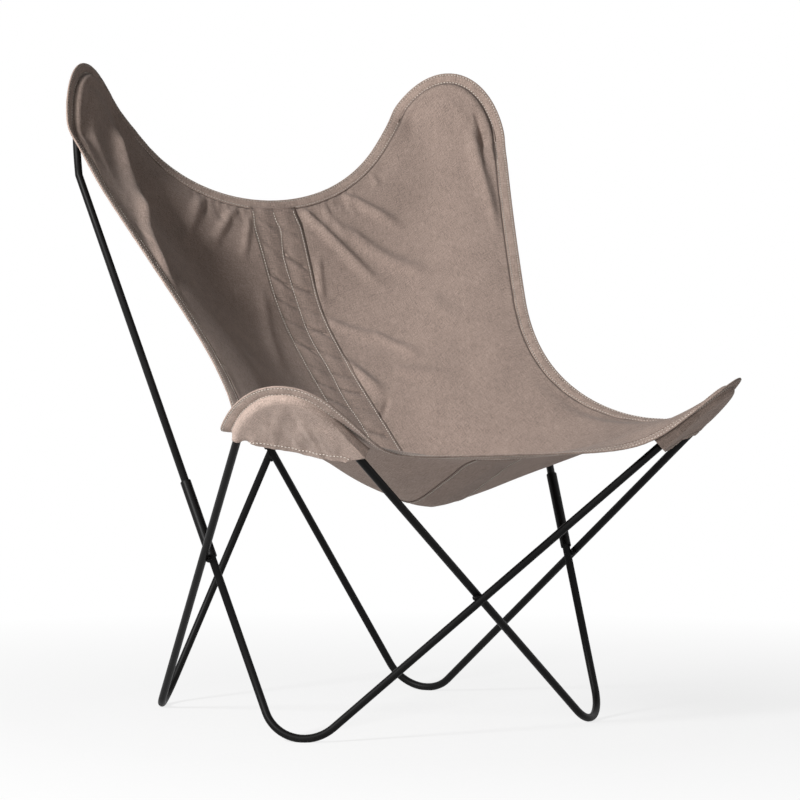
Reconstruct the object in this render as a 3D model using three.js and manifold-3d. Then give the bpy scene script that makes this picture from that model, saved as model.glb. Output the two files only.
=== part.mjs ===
// Butterfly sling chair: a tubular steel frame of crossing rods with plug-in back loops,
// and a canvas sling whose four pockets hang on the frame's four corners.
// Millimetres, +Z up, the chair faces -Y. Left and right are the sitter's, so +X is left.

import * as THREE from "three";
import { mergeVertices } from "three/addons/utils/BufferGeometryUtils.js";
import Module from "manifold-3d";

const wasm = await Module();
wasm.setup();

// Rods, sockets and welds
const ROD_DIAMETER = 11;
const SOCKET_DIAMETER = 15;
const SOCKET_CLEARANCE = 0.3;
const SIDE_SOCKET_LENGTH = 118;
const REAR_SOCKET_LENGTH = 118;
const ROD_END_GAP = 2;
const WELD_GAP = 0.3;
const BEAD_RADIUS = 6.5;

// Feet: where the straight lines of two legs would meet, and the bend between them
const FRONT_FEET_SPREAD = 514.8;
const FEET_DEPTH = 481.8;
const FOOT_BEND_RADIUS = 58;
const FOOT_FLAT_DEPTH = 0.5;

// Front ears of the frame: the corner of the legs' lines, and the bend's ends and reaches
const FRONT_EAR_SPREAD = 788.4;
const FRONT_EAR_REACH = 457.3;
const FRONT_EAR_HEIGHT = 535.7;
const FRONT_BEND_OUTER_HEIGHT = 412.4;
const FRONT_BEND_INNER_HEIGHT = 431.6;
const FRONT_BEND_OUTER_PULL = 95;
const FRONT_BEND_INNER_PULL = 91;

// Rear ears of the frame: the corner of the legs' lines, the kinks, and the arch's two pulls
const REAR_EAR_SPREAD = 750.2;
const REAR_EAR_REACH = 381.1;
const REAR_EAR_HEIGHT = 1034.6;
const SIDE_KINK_HEIGHT = 768;
const REAR_KINK_HEIGHT = 700;
const SIDE_PULL_OUT = 357;
const SIDE_PULL_BACK = 240;
const SIDE_PULL_HEIGHT = 944;
const REAR_PULL_OUT = 266;
const REAR_PULL_BACK = 346;
const REAR_PULL_HEIGHT = 982;

// Canvas: thicknesses and widths
const PANEL_THICKNESS = 2;
const CLOTH_GAP = 0.4;
const BAND_WIDTH = 17;
const BAND_THICKNESS = 4.4;
const OUTLINE_REACH = 26;
const ROD_COVER = 1.1;
const TENT_RISE = 1.1;
const STRAP_WIDTH = 75;
const STRAP_THICKNESS = 1.6;
const TAPE_THICKNESS = 1.2;
const SEAM_GAP = 0.4;
const POCKET_SLACK = 2;
const POCKET_HEM_START = 78;
const REAR_POCKET_BACK_REACH = 40;
const REAR_POCKET_SIDE_REACH = 12;
const FRONT_POCKET_SIDE_REACH = 2;
const FRONT_POCKET_INNER_REACH = 60;

// Sling outline: how far behind the ears' rods it lies, and the edges between the ears
const REAR_OUTLINE_SET_BACK = 2.6;
const FRONT_OUTLINE_LIFT = 1.1;
const BACK_EDGE_BACK = 299;
const BACK_EDGE_HEIGHT = 735;
const BACK_EDGE_PULL = 169;
const BACK_EAR_PULL = 10;
const FRONT_EDGE_REACH = 393.6;
const FRONT_EDGE_HEIGHT = 387;
const FRONT_EDGE_PULL = 211;
const FRONT_EAR_PULL = 124;
const WAIST_OUT = 284;
const WAIST_BACK = 30;
const WAIST_HEIGHT = 589;
const WAIST_PULL_IN = 64;
const WAIST_PULL_FORWARD = 166;
const WAIST_PULL_DOWN = 196;
const SIDE_REAR_PULL = 20;
const SIDE_FRONT_PULL = 15;
const SEAT_LOW_HEIGHT = 306.5;
const SEAT_SWELL = 10.6;

// Shares along the ears' rods where the outline follows them, and where an ear's tip lies
const REAR_SIDE_SHARE = 0.138;
const REAR_TIP_SHARE = 0.45;
const REAR_BACK_SHARE = 0.73;
const FRONT_SIDE_SHARE = 0.026;
const FRONT_TIP_SHARE = 0.5;
const FRONT_INNER_SHARE = 0.908;

// The middle seam: shares of the way from the back edge to the front edge, and of the height
// from the seat's lowest point to the back edge
const SEAM_SHARES = [
  [0, 1],
  [0.062, 0.823],
  [0.139, 0.61],
  [0.256, 0.433],
  [0.403, 0.2485],
  [0.554, 0.076],
  [0.699, 0],
  [0.843, 0.078],
];

// The sheet's form: how round its cross-section is at the seam, how soon it follows its back
// and front edges, and where along the seam it swells
const ROUNDNESS_SHARE = 0.3;
const BACK_POWER = 3;
const FRONT_POWER = 6;
const SWELL_PLACE_SHARE = 0.82;
const SWELL_LENGTH_SHARE = 0.26;

// Facets
const ROD_SIDES = 12;
const FOOT_STEPS = 8;
const EAR_STEPS = 14;
const SOCKET_SIDES = 16;
const CELLS_ACROSS = 14;
const CELLS_ALONG = 26;
const CROWDING_SHARE = 0.5;
const POCKET_ROWS = 3;
const DENSE = 40;

const BEAD_SEGMENTS = 8;
const BEAD_RINGS = 5;
const LAYOUT_ROUNDS = 12;

// How far cutting bodies reach past what they cut, and over what lengths the cloth eases
const CUT_OVERRUN = 20;
const BEAD_CUT_SHARE = 4;
const PROBE_SHARE = 0.02;
const EAR_FADE = 36;
const EASE_STEP = 18;
const EASE_SHARES = [1, 2, 3, 2, 1];
const LEAST_STEP_SHARE = 0.33;
const TENT_REACH = 80;

// The panel's rim over an ear's rod, in shares of the rod's diameter from its middle: the
// shoulder outside it, the top and the row inside it; and how high these rows lie over it
const SHOULDER_SHARE = -0.48;
const TOP_SHARE = 0.2;
const INNER_SHARE = 1.6;
const GROOVE_SHARE = 0.4;
const SHOULDER_LEVEL_SHARE = 0.84;
const INNER_LEVEL_SHARE = 0.92;

const STEEL = new THREE.MeshStandardMaterial({ color: 0x1c1b1a, roughness: 0.42, metalness: 0.2 });
const CANVAS = new THREE.MeshStandardMaterial({ color: 0x96857a, roughness: 0.95, metalness: 0 });
const CANVAS_DARK = new THREE.MeshStandardMaterial({ color: 0x7d6e64, roughness: 0.95, metalness: 0 });

const vec = (x, y, z) => new THREE.Vector3(x, y, z);
const UP = vec(0, 0, 1);

// Vector helpers: a + b * k, the unit vector from a to b, and the point between a and b
const along = (a, b, k) => a.clone().addScaledVector(b, k);
const unitTo = (a, b) => b.clone().sub(a).normalize();
const between = (a, b, share) => a.clone().lerp(b, share);
const clamp01 = (x) => Math.min(1, Math.max(0, x));
const smooth = (x) => clamp01(x) ** 2 * (3 - 2 * clamp01(x));
const sumOf = (values) => values.reduce((sum, value) => sum + value, 0);

// The point of the line a-b at a height
function atHeight(a, b, height) {
  return between(a, b, (height - a.z) / (b.z - a.z));
}

// Where two lines pass each other: the nearest points, the unit normal and the distance
function crossing(a0, a1, b0, b1) {
  const u = unitTo(a0, a1);
  const v = unitTo(b0, b1);
  const w = a0.clone().sub(b0);
  const k = u.dot(v);
  const denominator = 1 - k * k;
  const s = (k * v.dot(w) - u.dot(w)) / denominator;
  const t = (v.dot(w) - k * u.dot(w)) / denominator;
  const a = along(a0, u, s);
  const b = along(b0, v, t);
  const normal = u.clone().cross(v).normalize();
  return { a, b, u, v, normal, gap: b.clone().sub(a).dot(normal), sine: Math.sqrt(denominator) };
}

// Manifold solids from three.js geometries and back
function bareOf(geometry) {
  const bare = geometry.clone();
  for (const name of ["normal", "uv"]) bare.deleteAttribute(name);
  return bare;
}

function solidOf(geometry) {
  const merged = mergeVertices(bareOf(geometry), 1e-4);
  return new wasm.Manifold(
    new wasm.Mesh({
      numProp: 3,
      vertProperties: new Float32Array(merged.attributes.position.array),
      triVerts: new Uint32Array(merged.index.array),
    }),
  );
}

function geometryOf(solid) {
  const mesh = solid.getMesh();
  const positions = new Float32Array(mesh.numVert * 3);
  for (let i = 0; i < mesh.numVert; i++)
    positions.set(mesh.vertProperties.subarray(i * mesh.numProp, i * mesh.numProp + 3), i * 3);
  const geometry = new THREE.BufferGeometry();
  geometry.setAttribute("position", new THREE.BufferAttribute(positions, 3));
  geometry.setIndex(new THREE.BufferAttribute(new Uint32Array(mesh.triVerts), 1));
  geometry.computeVertexNormals();
  return geometry;
}

// A path given by its stations, each a point and the direction there, so that its rings
// stand close together in the bends and far apart on the straight legs
class RodPath extends THREE.Curve {
  constructor(stations) {
    super();
    this.stations = stations;
  }
  getPointAt(share, target = vec(0, 0, 0)) {
    return target.copy(this.stations[Math.round(share * (this.stations.length - 1))].point);
  }
  getTangentAt(share, target = vec(0, 0, 0)) {
    return target.copy(this.stations[Math.round(share * (this.stations.length - 1))].direction);
  }
}

function polygon(radius, sides) {
  const points = [];
  for (let i = 0; i < sides; i++) {
    const turn = (2 * Math.PI * i) / sides;
    points.push(new THREE.Vector2(radius * Math.cos(turn), radius * Math.sin(turn)));
  }
  return points;
}

function rodAlong(stations, diameter = ROD_DIAMETER, sides = ROD_SIDES) {
  const section = new THREE.Shape(polygon(diameter / 2, sides));
  return new THREE.ExtrudeGeometry(section, {
    steps: stations.length - 1,
    extrudePath: new RodPath(stations),
    bevelEnabled: false,
  });
}

function straightRod(start, end, diameter, sides) {
  const direction = unitTo(start, end);
  return rodAlong([{ point: start, direction }, { point: end, direction }], diameter, sides);
}

// The bend round a corner, from the leg that ends at `from` to the leg that goes to `to`
function bend(from, corner, to, radius) {
  const back = unitTo(corner, from);
  const ahead = unitTo(corner, to);
  const half = back.angleTo(ahead) / 2;
  const start = along(corner, back, radius / Math.tan(half));
  const centre = along(corner, back.clone().add(ahead).normalize(), radius / Math.sin(half));
  const out = unitTo(centre, start);
  const stations = [];
  for (let i = 0; i <= FOOT_STEPS; i++) {
    const turn = ((Math.PI - 2 * half) * i) / FOOT_STEPS;
    const point = along(along(centre, out, radius * Math.cos(turn)), back, -radius * Math.sin(turn));
    const direction = out.clone().multiplyScalar(-Math.sin(turn)).addScaledVector(back, -Math.cos(turn));
    stations.push({ point, direction });
  }
  return stations;
}

// The corner's height at which the bend's lowest point stands on the floor
function footCornerHeight(from, corner, to) {
  const back = unitTo(corner, from);
  const ahead = unitTo(corner, to);
  const half = back.angleTo(ahead) / 2;
  const middle = back.clone().add(ahead).normalize();
  const normal = back.clone().cross(ahead).normalize();
  const drop = FOOT_BEND_RADIUS * Math.sqrt(1 - normal.z ** 2);
  const standing = ROD_DIAMETER / 2 - FOOT_FLAT_DEPTH;
  return standing + drop - (FOOT_BEND_RADIUS / Math.sin(half)) * middle.z;
}

// The frame is two loops of rod. Loop +1 has its front ear and rear foot at +X, and its front
// foot and rear ear at -X; loop -1 is the other way round. Loop +1 lies in front where they
// cross, so the loops stand apart by one rod and the weld's gap there.
function corners(loop, rearFeetSpread, frontLap, rearLap, floor) {
  const front = (-loop * frontLap) / 2;
  const rear = (-loop * rearLap) / 2;
  return {
    frontFoot: vec((-loop * FRONT_FEET_SPREAD) / 2, -FEET_DEPTH / 2 + front, floor.front),
    frontEar: vec((loop * FRONT_EAR_SPREAD) / 2, -FRONT_EAR_REACH + front, FRONT_EAR_HEIGHT),
    rearFoot: vec((loop * rearFeetSpread) / 2, FEET_DEPTH / 2 + rear, floor.rear),
    rearEar: vec((-loop * REAR_EAR_SPREAD) / 2, REAR_EAR_REACH + rear, REAR_EAR_HEIGHT),
  };
}

// The laps, the rear feet's spread and the corners' heights depend on each other, so they are
// found together: the loops touch but for the weld's gap at the front, at the rear, and where
// an outer leg passes outside a side leg.
function layOutFrame() {
  const apart = ROD_DIAMETER + WELD_GAP;
  let frontLap = apart;
  let rearLap = apart;
  let rearFeetSpread = FRONT_FEET_SPREAD;
  const floor = { 1: { front: 0, rear: 0 }, [-1]: { front: 0, rear: 0 } };
  let loops;
  for (let round = 0; round < LAYOUT_ROUNDS; round++) {
    const make = (loop) => corners(loop, rearFeetSpread, frontLap, rearLap, floor[loop]);
    loops = { 1: make(1), [-1]: make(-1) };
    for (const loop of [1, -1]) {
      const c = loops[loop];
      floor[loop].front = footCornerHeight(c.rearEar, c.frontFoot, c.frontEar);
      floor[loop].rear = footCornerHeight(c.frontEar, c.rearFoot, c.rearEar);
    }
    const [a, b] = [loops[1], loops[-1]];
    const front = crossing(a.frontFoot, a.frontEar, b.frontFoot, b.frontEar);
    const rear = crossing(a.rearFoot, a.rearEar, b.rearFoot, b.rearEar);
    frontLap *= apart / Math.abs(front.gap);
    rearLap *= apart / Math.abs(rear.gap);
    const needs = [1, -1].map((side) => {
      const outer = loops[side];
      const inner = loops[-side];
      const cross = crossing(inner.frontFoot, inner.rearEar, outer.rearFoot, outer.frontEar);
      const outward = side * Math.sign(cross.normal.x);
      const reach = 1 - outer.rearFoot.distanceTo(cross.b) / outer.rearFoot.distanceTo(outer.frontEar);
      return (apart - cross.gap * outward) / (Math.abs(cross.normal.x) * reach);
    });
    rearFeetSpread += 2 * Math.max(...needs);
  }
  return loops;
}

const loops = layOutFrame();

// The bends of the front and rear ears, on the side of +X or -X
function frontEarCurve(side) {
  const { frontFoot, frontEar, rearFoot } = loops[side];
  const outerEnd = atHeight(rearFoot, frontEar, FRONT_BEND_OUTER_HEIGHT);
  const innerEnd = atHeight(frontFoot, frontEar, FRONT_BEND_INNER_HEIGHT);
  return new THREE.CubicBezierCurve3(
    outerEnd,
    along(outerEnd, unitTo(rearFoot, frontEar), FRONT_BEND_OUTER_PULL),
    along(innerEnd, unitTo(frontFoot, frontEar), FRONT_BEND_INNER_PULL),
    innerEnd,
  );
}

function rearEarCurve(side) {
  const { frontFoot, rearEar, rearFoot } = loops[-side];
  const lap = rearEar.y - REAR_EAR_REACH;
  return new THREE.CubicBezierCurve3(
    atHeight(frontFoot, rearEar, SIDE_KINK_HEIGHT),
    vec(side * SIDE_PULL_OUT, SIDE_PULL_BACK + lap, SIDE_PULL_HEIGHT),
    vec(side * REAR_PULL_OUT, REAR_PULL_BACK + lap, REAR_PULL_HEIGHT),
    atHeight(rearFoot, rearEar, REAR_KINK_HEIGHT),
  );
}

function stationsOf(curve, steps) {
  const stations = [];
  for (let i = 0; i <= steps; i++)
    stations.push({ point: curve.getPoint(i / steps), direction: curve.getTangent(i / steps) });
  return stations;
}

// Sockets: each starts just above the crossing that it stands on, where it clears the other rod
function sideCrossing(side) {
  const inner = loops[-side];
  const outer = loops[side];
  return crossing(inner.frontFoot, inner.rearEar, outer.rearFoot, outer.frontEar);
}

function rearCrossing(side) {
  const own = loops[-side];
  const other = loops[side];
  return crossing(own.rearFoot, own.rearEar, other.rearFoot, other.rearEar);
}

function frontCrossing() {
  return crossing(loops[1].frontFoot, loops[1].frontEar, loops[-1].frontFoot, loops[-1].frontEar);
}

function sideSocketEnds(side) {
  const cross = sideCrossing(side);
  const apart = (SOCKET_DIAMETER + ROD_DIAMETER) / 2 + WELD_GAP;
  const rise = Math.sqrt(Math.max(0, apart ** 2 - cross.gap ** 2)) / cross.sine + WELD_GAP;
  const start = along(cross.a, cross.u, rise);
  return { start, end: along(start, cross.u, SIDE_SOCKET_LENGTH), direction: cross.u };
}

function rearSocketEnds(side) {
  const cross = rearCrossing(side);
  const half = cross.u.angleTo(cross.v) / 2;
  const apart = SOCKET_DIAMETER + WELD_GAP;
  const rise = Math.sqrt(Math.max(0, apart ** 2 - cross.gap ** 2)) / (2 * Math.sin(half)) + WELD_GAP;
  const start = along(cross.a, cross.u, rise);
  return { start, end: along(start, cross.u, REAR_SOCKET_LENGTH), direction: cross.u };
}

// The rods' ends meet, but for a gap, in the middle of a socket
function rodEnd(socket, sign) {
  const point = along(between(socket.start, socket.end, 0.5), socket.direction, (sign * ROD_END_GAP) / 2);
  return { point, direction: socket.direction };
}

const reversed = (stations) =>
  stations.map(({ point, direction }) => ({ point, direction: direction.clone().negate() })).reverse();

// One base rod, from its side socket over the front foot, the front ear and the rear foot to
// its rear socket, with its feet cut flat where they stand
function baseRod(loop) {
  const c = loops[loop];
  const [side] = reversed([rodEnd(sideSocketEnds(-loop), -1)]);
  const stations = [
    side,
    ...bend(c.rearEar, c.frontFoot, c.frontEar, FOOT_BEND_RADIUS),
    ...reversed(stationsOf(frontEarCurve(loop), EAR_STEPS)),
    ...bend(c.frontEar, c.rearFoot, c.rearEar, FOOT_BEND_RADIUS),
    rodEnd(rearSocketEnds(-loop), -1),
  ];
  const width = FRONT_FEET_SPREAD + 2 * FOOT_BEND_RADIUS + 2 * CUT_OVERRUN;
  const depth = FEET_DEPTH + 2 * FOOT_BEND_RADIUS + 2 * CUT_OVERRUN;
  const floor = new THREE.BoxGeometry(width, depth, CUT_OVERRUN).translate(0, 0, -CUT_OVERRUN / 2);
  return geometryOf(solidOf(rodAlong(stations)).subtract(solidOf(floor)));
}

// One back loop, from its side socket over the rear ear down to its rear socket
function backLoop(side) {
  const stations = [
    rodEnd(sideSocketEnds(side), 1),
    ...stationsOf(rearEarCurve(side), EAR_STEPS),
    ...reversed([rodEnd(rearSocketEnds(side), 1)]),
  ];
  return rodAlong(stations);
}

function socketTube(ends) {
  const outline = new THREE.Shape(polygon(SOCKET_DIAMETER / 2, SOCKET_SIDES));
  const bore = (ROD_DIAMETER / 2 + SOCKET_CLEARANCE) / Math.cos(Math.PI / SOCKET_SIDES);
  outline.holes.push(new THREE.Path(polygon(bore, SOCKET_SIDES)));
  const { start, end, direction } = ends;
  return new THREE.ExtrudeGeometry(outline, {
    steps: 1,
    extrudePath: new RodPath([{ point: start, direction }, { point: end, direction }]),
    bevelEnabled: false,
  });
}

// A weld bead fills one crotch of two crossing rods: a ball on the bisector of the rods'
// directions, each taken with its own sign, less the rods
function bead(cross, signs, others = []) {
  const [p, q] = signs;
  const towards = cross.u.clone().multiplyScalar(p).addScaledVector(cross.v, q).normalize();
  const lateral = cross.u.clone().multiplyScalar(p).addScaledVector(cross.v, -q).normalize();
  const centre = along(between(cross.a, cross.b, 0.5), towards, BEAD_RADIUS + WELD_GAP);
  const frame = new THREE.Matrix4().makeBasis(towards, lateral, towards.clone().cross(lateral));
  const ball = new THREE.SphereGeometry(BEAD_RADIUS, BEAD_SEGMENTS, BEAD_RINGS).applyMatrix4(frame);
  ball.translate(centre.x, centre.y, centre.z);
  const reach = BEAD_CUT_SHARE * BEAD_RADIUS;
  const clear = ROD_DIAMETER + 2 * WELD_GAP;
  const rods = [
    [cross.a, cross.u],
    [cross.b, cross.v],
  ].map(([point, d]) => straightRod(along(point, d, -reach), along(point, d, reach), clear, ROD_SIDES));
  const half = new THREE.BoxGeometry(reach, reach, reach).translate(-reach / 2 + WELD_GAP / 2, 0, 0);
  half.applyMatrix4(frame.clone().setPosition(between(cross.a, cross.b, 0.5)));
  let solid = solidOf(ball);
  for (const cut of [half, ...rods, ...others]) solid = solid.subtract(solidOf(cut));
  const bodies = solid.decompose().sort((a, b) => b.volume() - a.volume());
  return geometryOf(bodies[0]);
}

function socketCut(ends) {
  const { start, end, direction } = ends;
  return straightRod(along(start, direction, -WELD_GAP), end, SOCKET_DIAMETER + 2 * WELD_GAP, SOCKET_SIDES);
}

// A polyline with its length measured along it
class Edge {
  constructor(points) {
    this.points = points;
    this.lengths = [0];
    for (let i = 1; i < points.length; i++)
      this.lengths.push(this.lengths[i - 1] + points[i].distanceTo(points[i - 1]));
    this.length = this.lengths.at(-1);
  }
  at(share) {
    const target = clamp01(share) * this.length;
    let i = 1;
    while (i < this.points.length - 1 && this.lengths[i] < target) i++;
    const span = this.lengths[i] - this.lengths[i - 1];
    return between(this.points[i - 1], this.points[i], (target - this.lengths[i - 1]) / span);
  }
  direction(share) {
    return unitTo(this.at(share - PROBE_SHARE / 4), this.at(share + PROBE_SHARE / 4));
  }
}

const joined = (...parts) => new Edge(parts.flatMap((part, i) => (i ? part.slice(1) : part)));
const bezier = (...points) => new THREE.CubicBezierCurve3(...points).getPoints(DENSE);

// An ear of the sling: its plane's normal towards the sitter, and the outline that runs
// beside its rod, outside it, from one share of the bend to another
function ear(curve, towardsSitter, lift) {
  const { v0, v1, v3 } = curve;
  const normal = v1.clone().sub(v0).cross(v3.clone().sub(v0)).normalize();
  if (normal.dot(towardsSitter) < 0) normal.negate();
  const middle = between(v0, v3, 0.5);
  const turn = Math.sign(normal.clone().cross(curve.getTangent(0.5)).dot(curve.getPoint(0.5).sub(middle)));
  const beside = (share, reach, height) => {
    const outward = normal.clone().cross(curve.getTangent(share)).multiplyScalar(turn);
    return along(along(curve.getPoint(share), outward, reach), normal, height);
  };
  const outline = (from, to) => {
    const points = [];
    for (let i = 0; i <= DENSE; i++)
      points.push(beside(from + ((to - from) * i) / DENSE, OUTLINE_REACH, lift));
    return points;
  };
  return { curve, normal, middle, outline, lift };
}

// The sling's outline on one side: back edge from the middle to the rear ear's tip, side edge
// from there to the front ear's tip, front edge from the middle to the front ear's tip
function slingOutline(side) {
  const rear = ear(rearEarCurve(side), vec(0, -1, 0), -REAR_OUTLINE_SET_BACK);
  const front = ear(frontEarCurve(side), UP, FRONT_OUTLINE_LIFT);
  const out = vec(side, 0, 0);

  const backMiddle = vec(0, BACK_EDGE_BACK, BACK_EDGE_HEIGHT);
  const backFollow = rear.outline(REAR_BACK_SHARE, REAR_TIP_SHARE);
  const backLeave = along(backFollow[0], rear.curve.getTangent(REAR_BACK_SHARE), BACK_EAR_PULL);
  const backFree = bezier(backMiddle, along(backMiddle, out, BACK_EDGE_PULL), backLeave, backFollow[0]);

  const sideFollow = rear.outline(REAR_TIP_SHARE, REAR_SIDE_SHARE);
  const sideStart = sideFollow.at(-1);
  const waist = vec(side * WAIST_OUT, WAIST_BACK, WAIST_HEIGHT);
  const pull = vec(-side * WAIST_PULL_IN, -WAIST_PULL_FORWARD, -WAIST_PULL_DOWN);
  const sideReach = front.outline(FRONT_SIDE_SHARE, FRONT_TIP_SHARE);
  const sideLeave = along(sideStart, rear.curve.getTangent(REAR_SIDE_SHARE), -SIDE_REAR_PULL);
  const sideArrive = along(sideReach[0], front.curve.getTangent(FRONT_SIDE_SHARE), -SIDE_FRONT_PULL);

  const frontMiddle = vec(0, -FRONT_EDGE_REACH, FRONT_EDGE_HEIGHT);
  const frontFollow = front.outline(FRONT_INNER_SHARE, FRONT_TIP_SHARE);
  const frontLeave = along(frontFollow[0], front.curve.getTangent(FRONT_INNER_SHARE), FRONT_EAR_PULL);

  return {
    rear,
    front,
    back: joined(backFree, backFollow),
    side: joined(
      sideFollow,
      bezier(sideStart, sideLeave, along(waist, pull, -1), waist),
      bezier(waist, along(waist, pull, 1), sideArrive, sideReach[0]),
      sideReach,
    ),
    frontEdge: joined(
      bezier(frontMiddle, along(frontMiddle, out, FRONT_EDGE_PULL), frontLeave, frontFollow[0]),
      frontFollow,
    ),
    spans: {
      back: new Edge(backFree).length,
      sideStart: new Edge(sideFollow).length,
      sideEnd: new Edge(sideReach).length,
      front: new Edge(frontFollow).length,
    },
  };
}

// The middle seam, from the back edge to the front edge
function middleSeam() {
  const depth = BACK_EDGE_BACK + FRONT_EDGE_REACH;
  const height = BACK_EDGE_HEIGHT - SEAT_LOW_HEIGHT;
  const points = SEAM_SHARES.map(([way, rise]) =>
    vec(0, BACK_EDGE_BACK - way * depth, SEAT_LOW_HEIGHT + rise * height),
  );
  points.push(vec(0, -FRONT_EDGE_REACH, FRONT_EDGE_HEIGHT));
  return new Edge(new THREE.CatmullRomCurve3(points).getPoints(4 * DENSE));
}

// How far across a point lies, with the cross-section rounded near the seam
function across(u) {
  const rounded = Math.sqrt(u * u + ROUNDNESS_SHARE ** 2) - ROUNDNESS_SHARE;
  const whole = Math.sqrt(1 + ROUNDNESS_SHARE ** 2) - ROUNDNESS_SHARE;
  return vec(u, rounded / whole, rounded / whole);
}

// The stretched sheet between a seam point c and a side point e, drawn towards the back edge
// (b between b0 and b1) and the front edge (f between f0 and f1) where it is near them
function stretched(u, v, c, e, b, b0, b1, f, f0, f1) {
  const share = across(u);
  const straight = (p, q) => p.clone().add(q.clone().sub(p).multiply(share));
  const point = straight(c, e);
  point.addScaledVector(b.clone().sub(straight(b0, b1)), (1 - v) ** BACK_POWER);
  point.addScaledVector(f.clone().sub(straight(f0, f1)), v ** FRONT_POWER);
  const swell = Math.exp(-(((v - SWELL_PLACE_SHARE) / SWELL_LENGTH_SHARE) ** 2)) * Math.sin(Math.PI * u);
  point.z += SEAT_SWELL * swell;
  return point;
}

// Shares of the stations: crowded towards an ear's tip
const crowdOne = (q) => q * (1 + CROWDING_SHARE * (1 - q));
const crowdBoth = (q) => q - (CROWDING_SHARE * Math.sin(2 * Math.PI * q)) / (2 * Math.PI);

// The first column beside the seam lies under the strap's edge
function columnShare(k, width) {
  if (k === 0) return 0;
  const first = STRAP_WIDTH / 2 / width;
  return first + (1 - first) * crowdOne((k - 1) / (CELLS_ACROSS - 1));
}

// Points of the rods near the sling on one side, for keeping cloth clear of them
function rodPoints(side) {
  const points = [];
  const step = ROD_DIAMETER / 2;
  const line = (a, b) => {
    const count = Math.ceil(a.distanceTo(b) / step);
    for (let i = 0; i <= count; i++) points.push(between(a, b, i / count));
  };
  const front = frontEarCurve(side);
  const rear = rearEarCurve(side);
  for (const curve of [front, rear]) {
    const count = Math.ceil(curve.getLength() / step);
    points.push(...curve.getSpacedPoints(count));
  }
  line(loops[side].rearFoot, front.v0);
  line(loops[side].frontFoot, front.v3);
  line(loops[-side].frontFoot, rear.v0);
  line(loops[-side].rearFoot, rear.v3);
  return points;
}

// How far a point has to move along the cloth's normal so that cloth of a half thickness clears
// the rods, as it does over a rod: closely, and in a wide tent that falls away on both sides
function liftOver(rods, point, normal, sign, halfThickness, tent) {
  const least = ROD_DIAMETER / 2 + halfThickness + ROD_COVER;
  const top = least * TENT_RISE;
  let push = 0;
  for (const rod of rods) {
    const away = point.clone().sub(rod);
    if (away.lengthSq() > TENT_REACH ** 2) continue;
    const height = away.dot(normal) * sign;
    const aside = Math.sqrt(Math.max(0, away.lengthSq() - height * height));
    if (aside < least) push = Math.max(push, Math.sqrt(least * least - aside * aside) - height);
    push = Math.max(push, tent * (top * (1 - (aside / TENT_REACH) ** 2) ** 2 - height));
  }
  return push;
}

// The stations round one half's outline. Each has the outline's point and direction, the
// direction inwards, the cloth's normal towards the sitter, how far it holds to an ear's rod,
// and that ear's lift. Where the edge leaves an ear and crosses in front of a rod, the point
// is moved towards the sitter, and the move eases in and out along the edge.
function stationsRound(side, outline, rods) {
  const seam = middleSeam();
  const { back, side: sideEdge, frontEdge, rear, front, spans } = outline;
  const sheetAt = (u, v) =>
    stretched(u, v, seam.at(v), sideEdge.at(v), back.at(u), back.at(0), back.at(1),
      frontEdge.at(u), frontEdge.at(0), frontEdge.at(1));
  const lines = {
    back: {
      edge: back,
      turn: 1,
      inside: (u) => sheetAt(u, PROBE_SHARE),
      past: (u) => spans.back - u * back.length,
      ear: () => rear,
    },
    side: {
      edge: sideEdge,
      turn: 1,
      inside: (v) => sheetAt(1 - PROBE_SHARE, v),
      past: (v) =>
        Math.min(v * sideEdge.length - spans.sideStart, (1 - v) * sideEdge.length - spans.sideEnd),
      ear: (v) => (v < 0.5 ? rear : front),
    },
    front: {
      edge: frontEdge,
      turn: -1,
      inside: (u) => sheetAt(u, 1 - PROBE_SHARE),
      past: (u) => (1 - u) * frontEdge.length - spans.front,
      ear: () => front,
    },
  };
  const bare = ({ edge, turn, inside, past, ear: earAt }, share) => {
    const free = smooth(past(share) / EAR_FADE);
    const own = earAt(share);
    const point = edge.at(share);
    const direction = edge.direction(share);
    const inward = between(own.middle, inside(share), free).sub(point);
    inward.addScaledVector(direction, -inward.dot(direction)).normalize();
    const normal = inward.clone().cross(direction).multiplyScalar(side * turn).normalize();
    return { point, direction, inward, normal, hold: 1 - free, tent: free, lift: own.lift };
  };
  const pushAt = (line, share) => {
    const st = bare(line, clamp01(share));
    if (st.tent === 0) return 0;
    const pushes = [0, 0.5, 1].map((part) =>
      liftOver(rods, along(st.point, st.inward, part * BAND_WIDTH), st.normal, 1, BAND_THICKNESS / 2, 1),
    );
    return st.tent * Math.max(...pushes);
  };
  const station = (name, share) => {
    const line = lines[name];
    const st = bare(line, share);
    const middle = (EASE_SHARES.length - 1) / 2;
    const pushes = EASE_SHARES.map((part, i) => {
      const offset = ((i - middle) * EASE_STEP) / line.edge.length;
      return part * pushAt(line, share + offset);
    });
    const eased = sumOf(pushes) / sumOf(EASE_SHARES);
    return { ...st, name, share, point: along(st.point, st.normal, eased) };
  };
  return { station, seam };
}

// Rows of the panel's rim: distance from the outline, and height over the outline on an ear
// and off it. The rod's centre line is OUTLINE_REACH from the outline.
const GROOVE = BAND_WIDTH + CLOTH_GAP + GROOVE_SHARE * PANEL_THICKNESS;
const LAYER = (PANEL_THICKNESS + CLOTH_GAP) / 2;
const INNER = OUTLINE_REACH + INNER_SHARE * ROD_DIAMETER;
const OVER_ROD = ROD_DIAMETER / 2 + PANEL_THICKNESS / 2 + ROD_COVER;
const RIM = [
  { from: GROOVE, over: 0 },
  { from: OUTLINE_REACH + SHOULDER_SHARE * ROD_DIAMETER, over: SHOULDER_LEVEL_SHARE },
  { from: OUTLINE_REACH + TOP_SHARE * ROD_DIAMETER, over: 1 },
  { from: INNER, over: INNER_LEVEL_SHARE },
];

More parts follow.
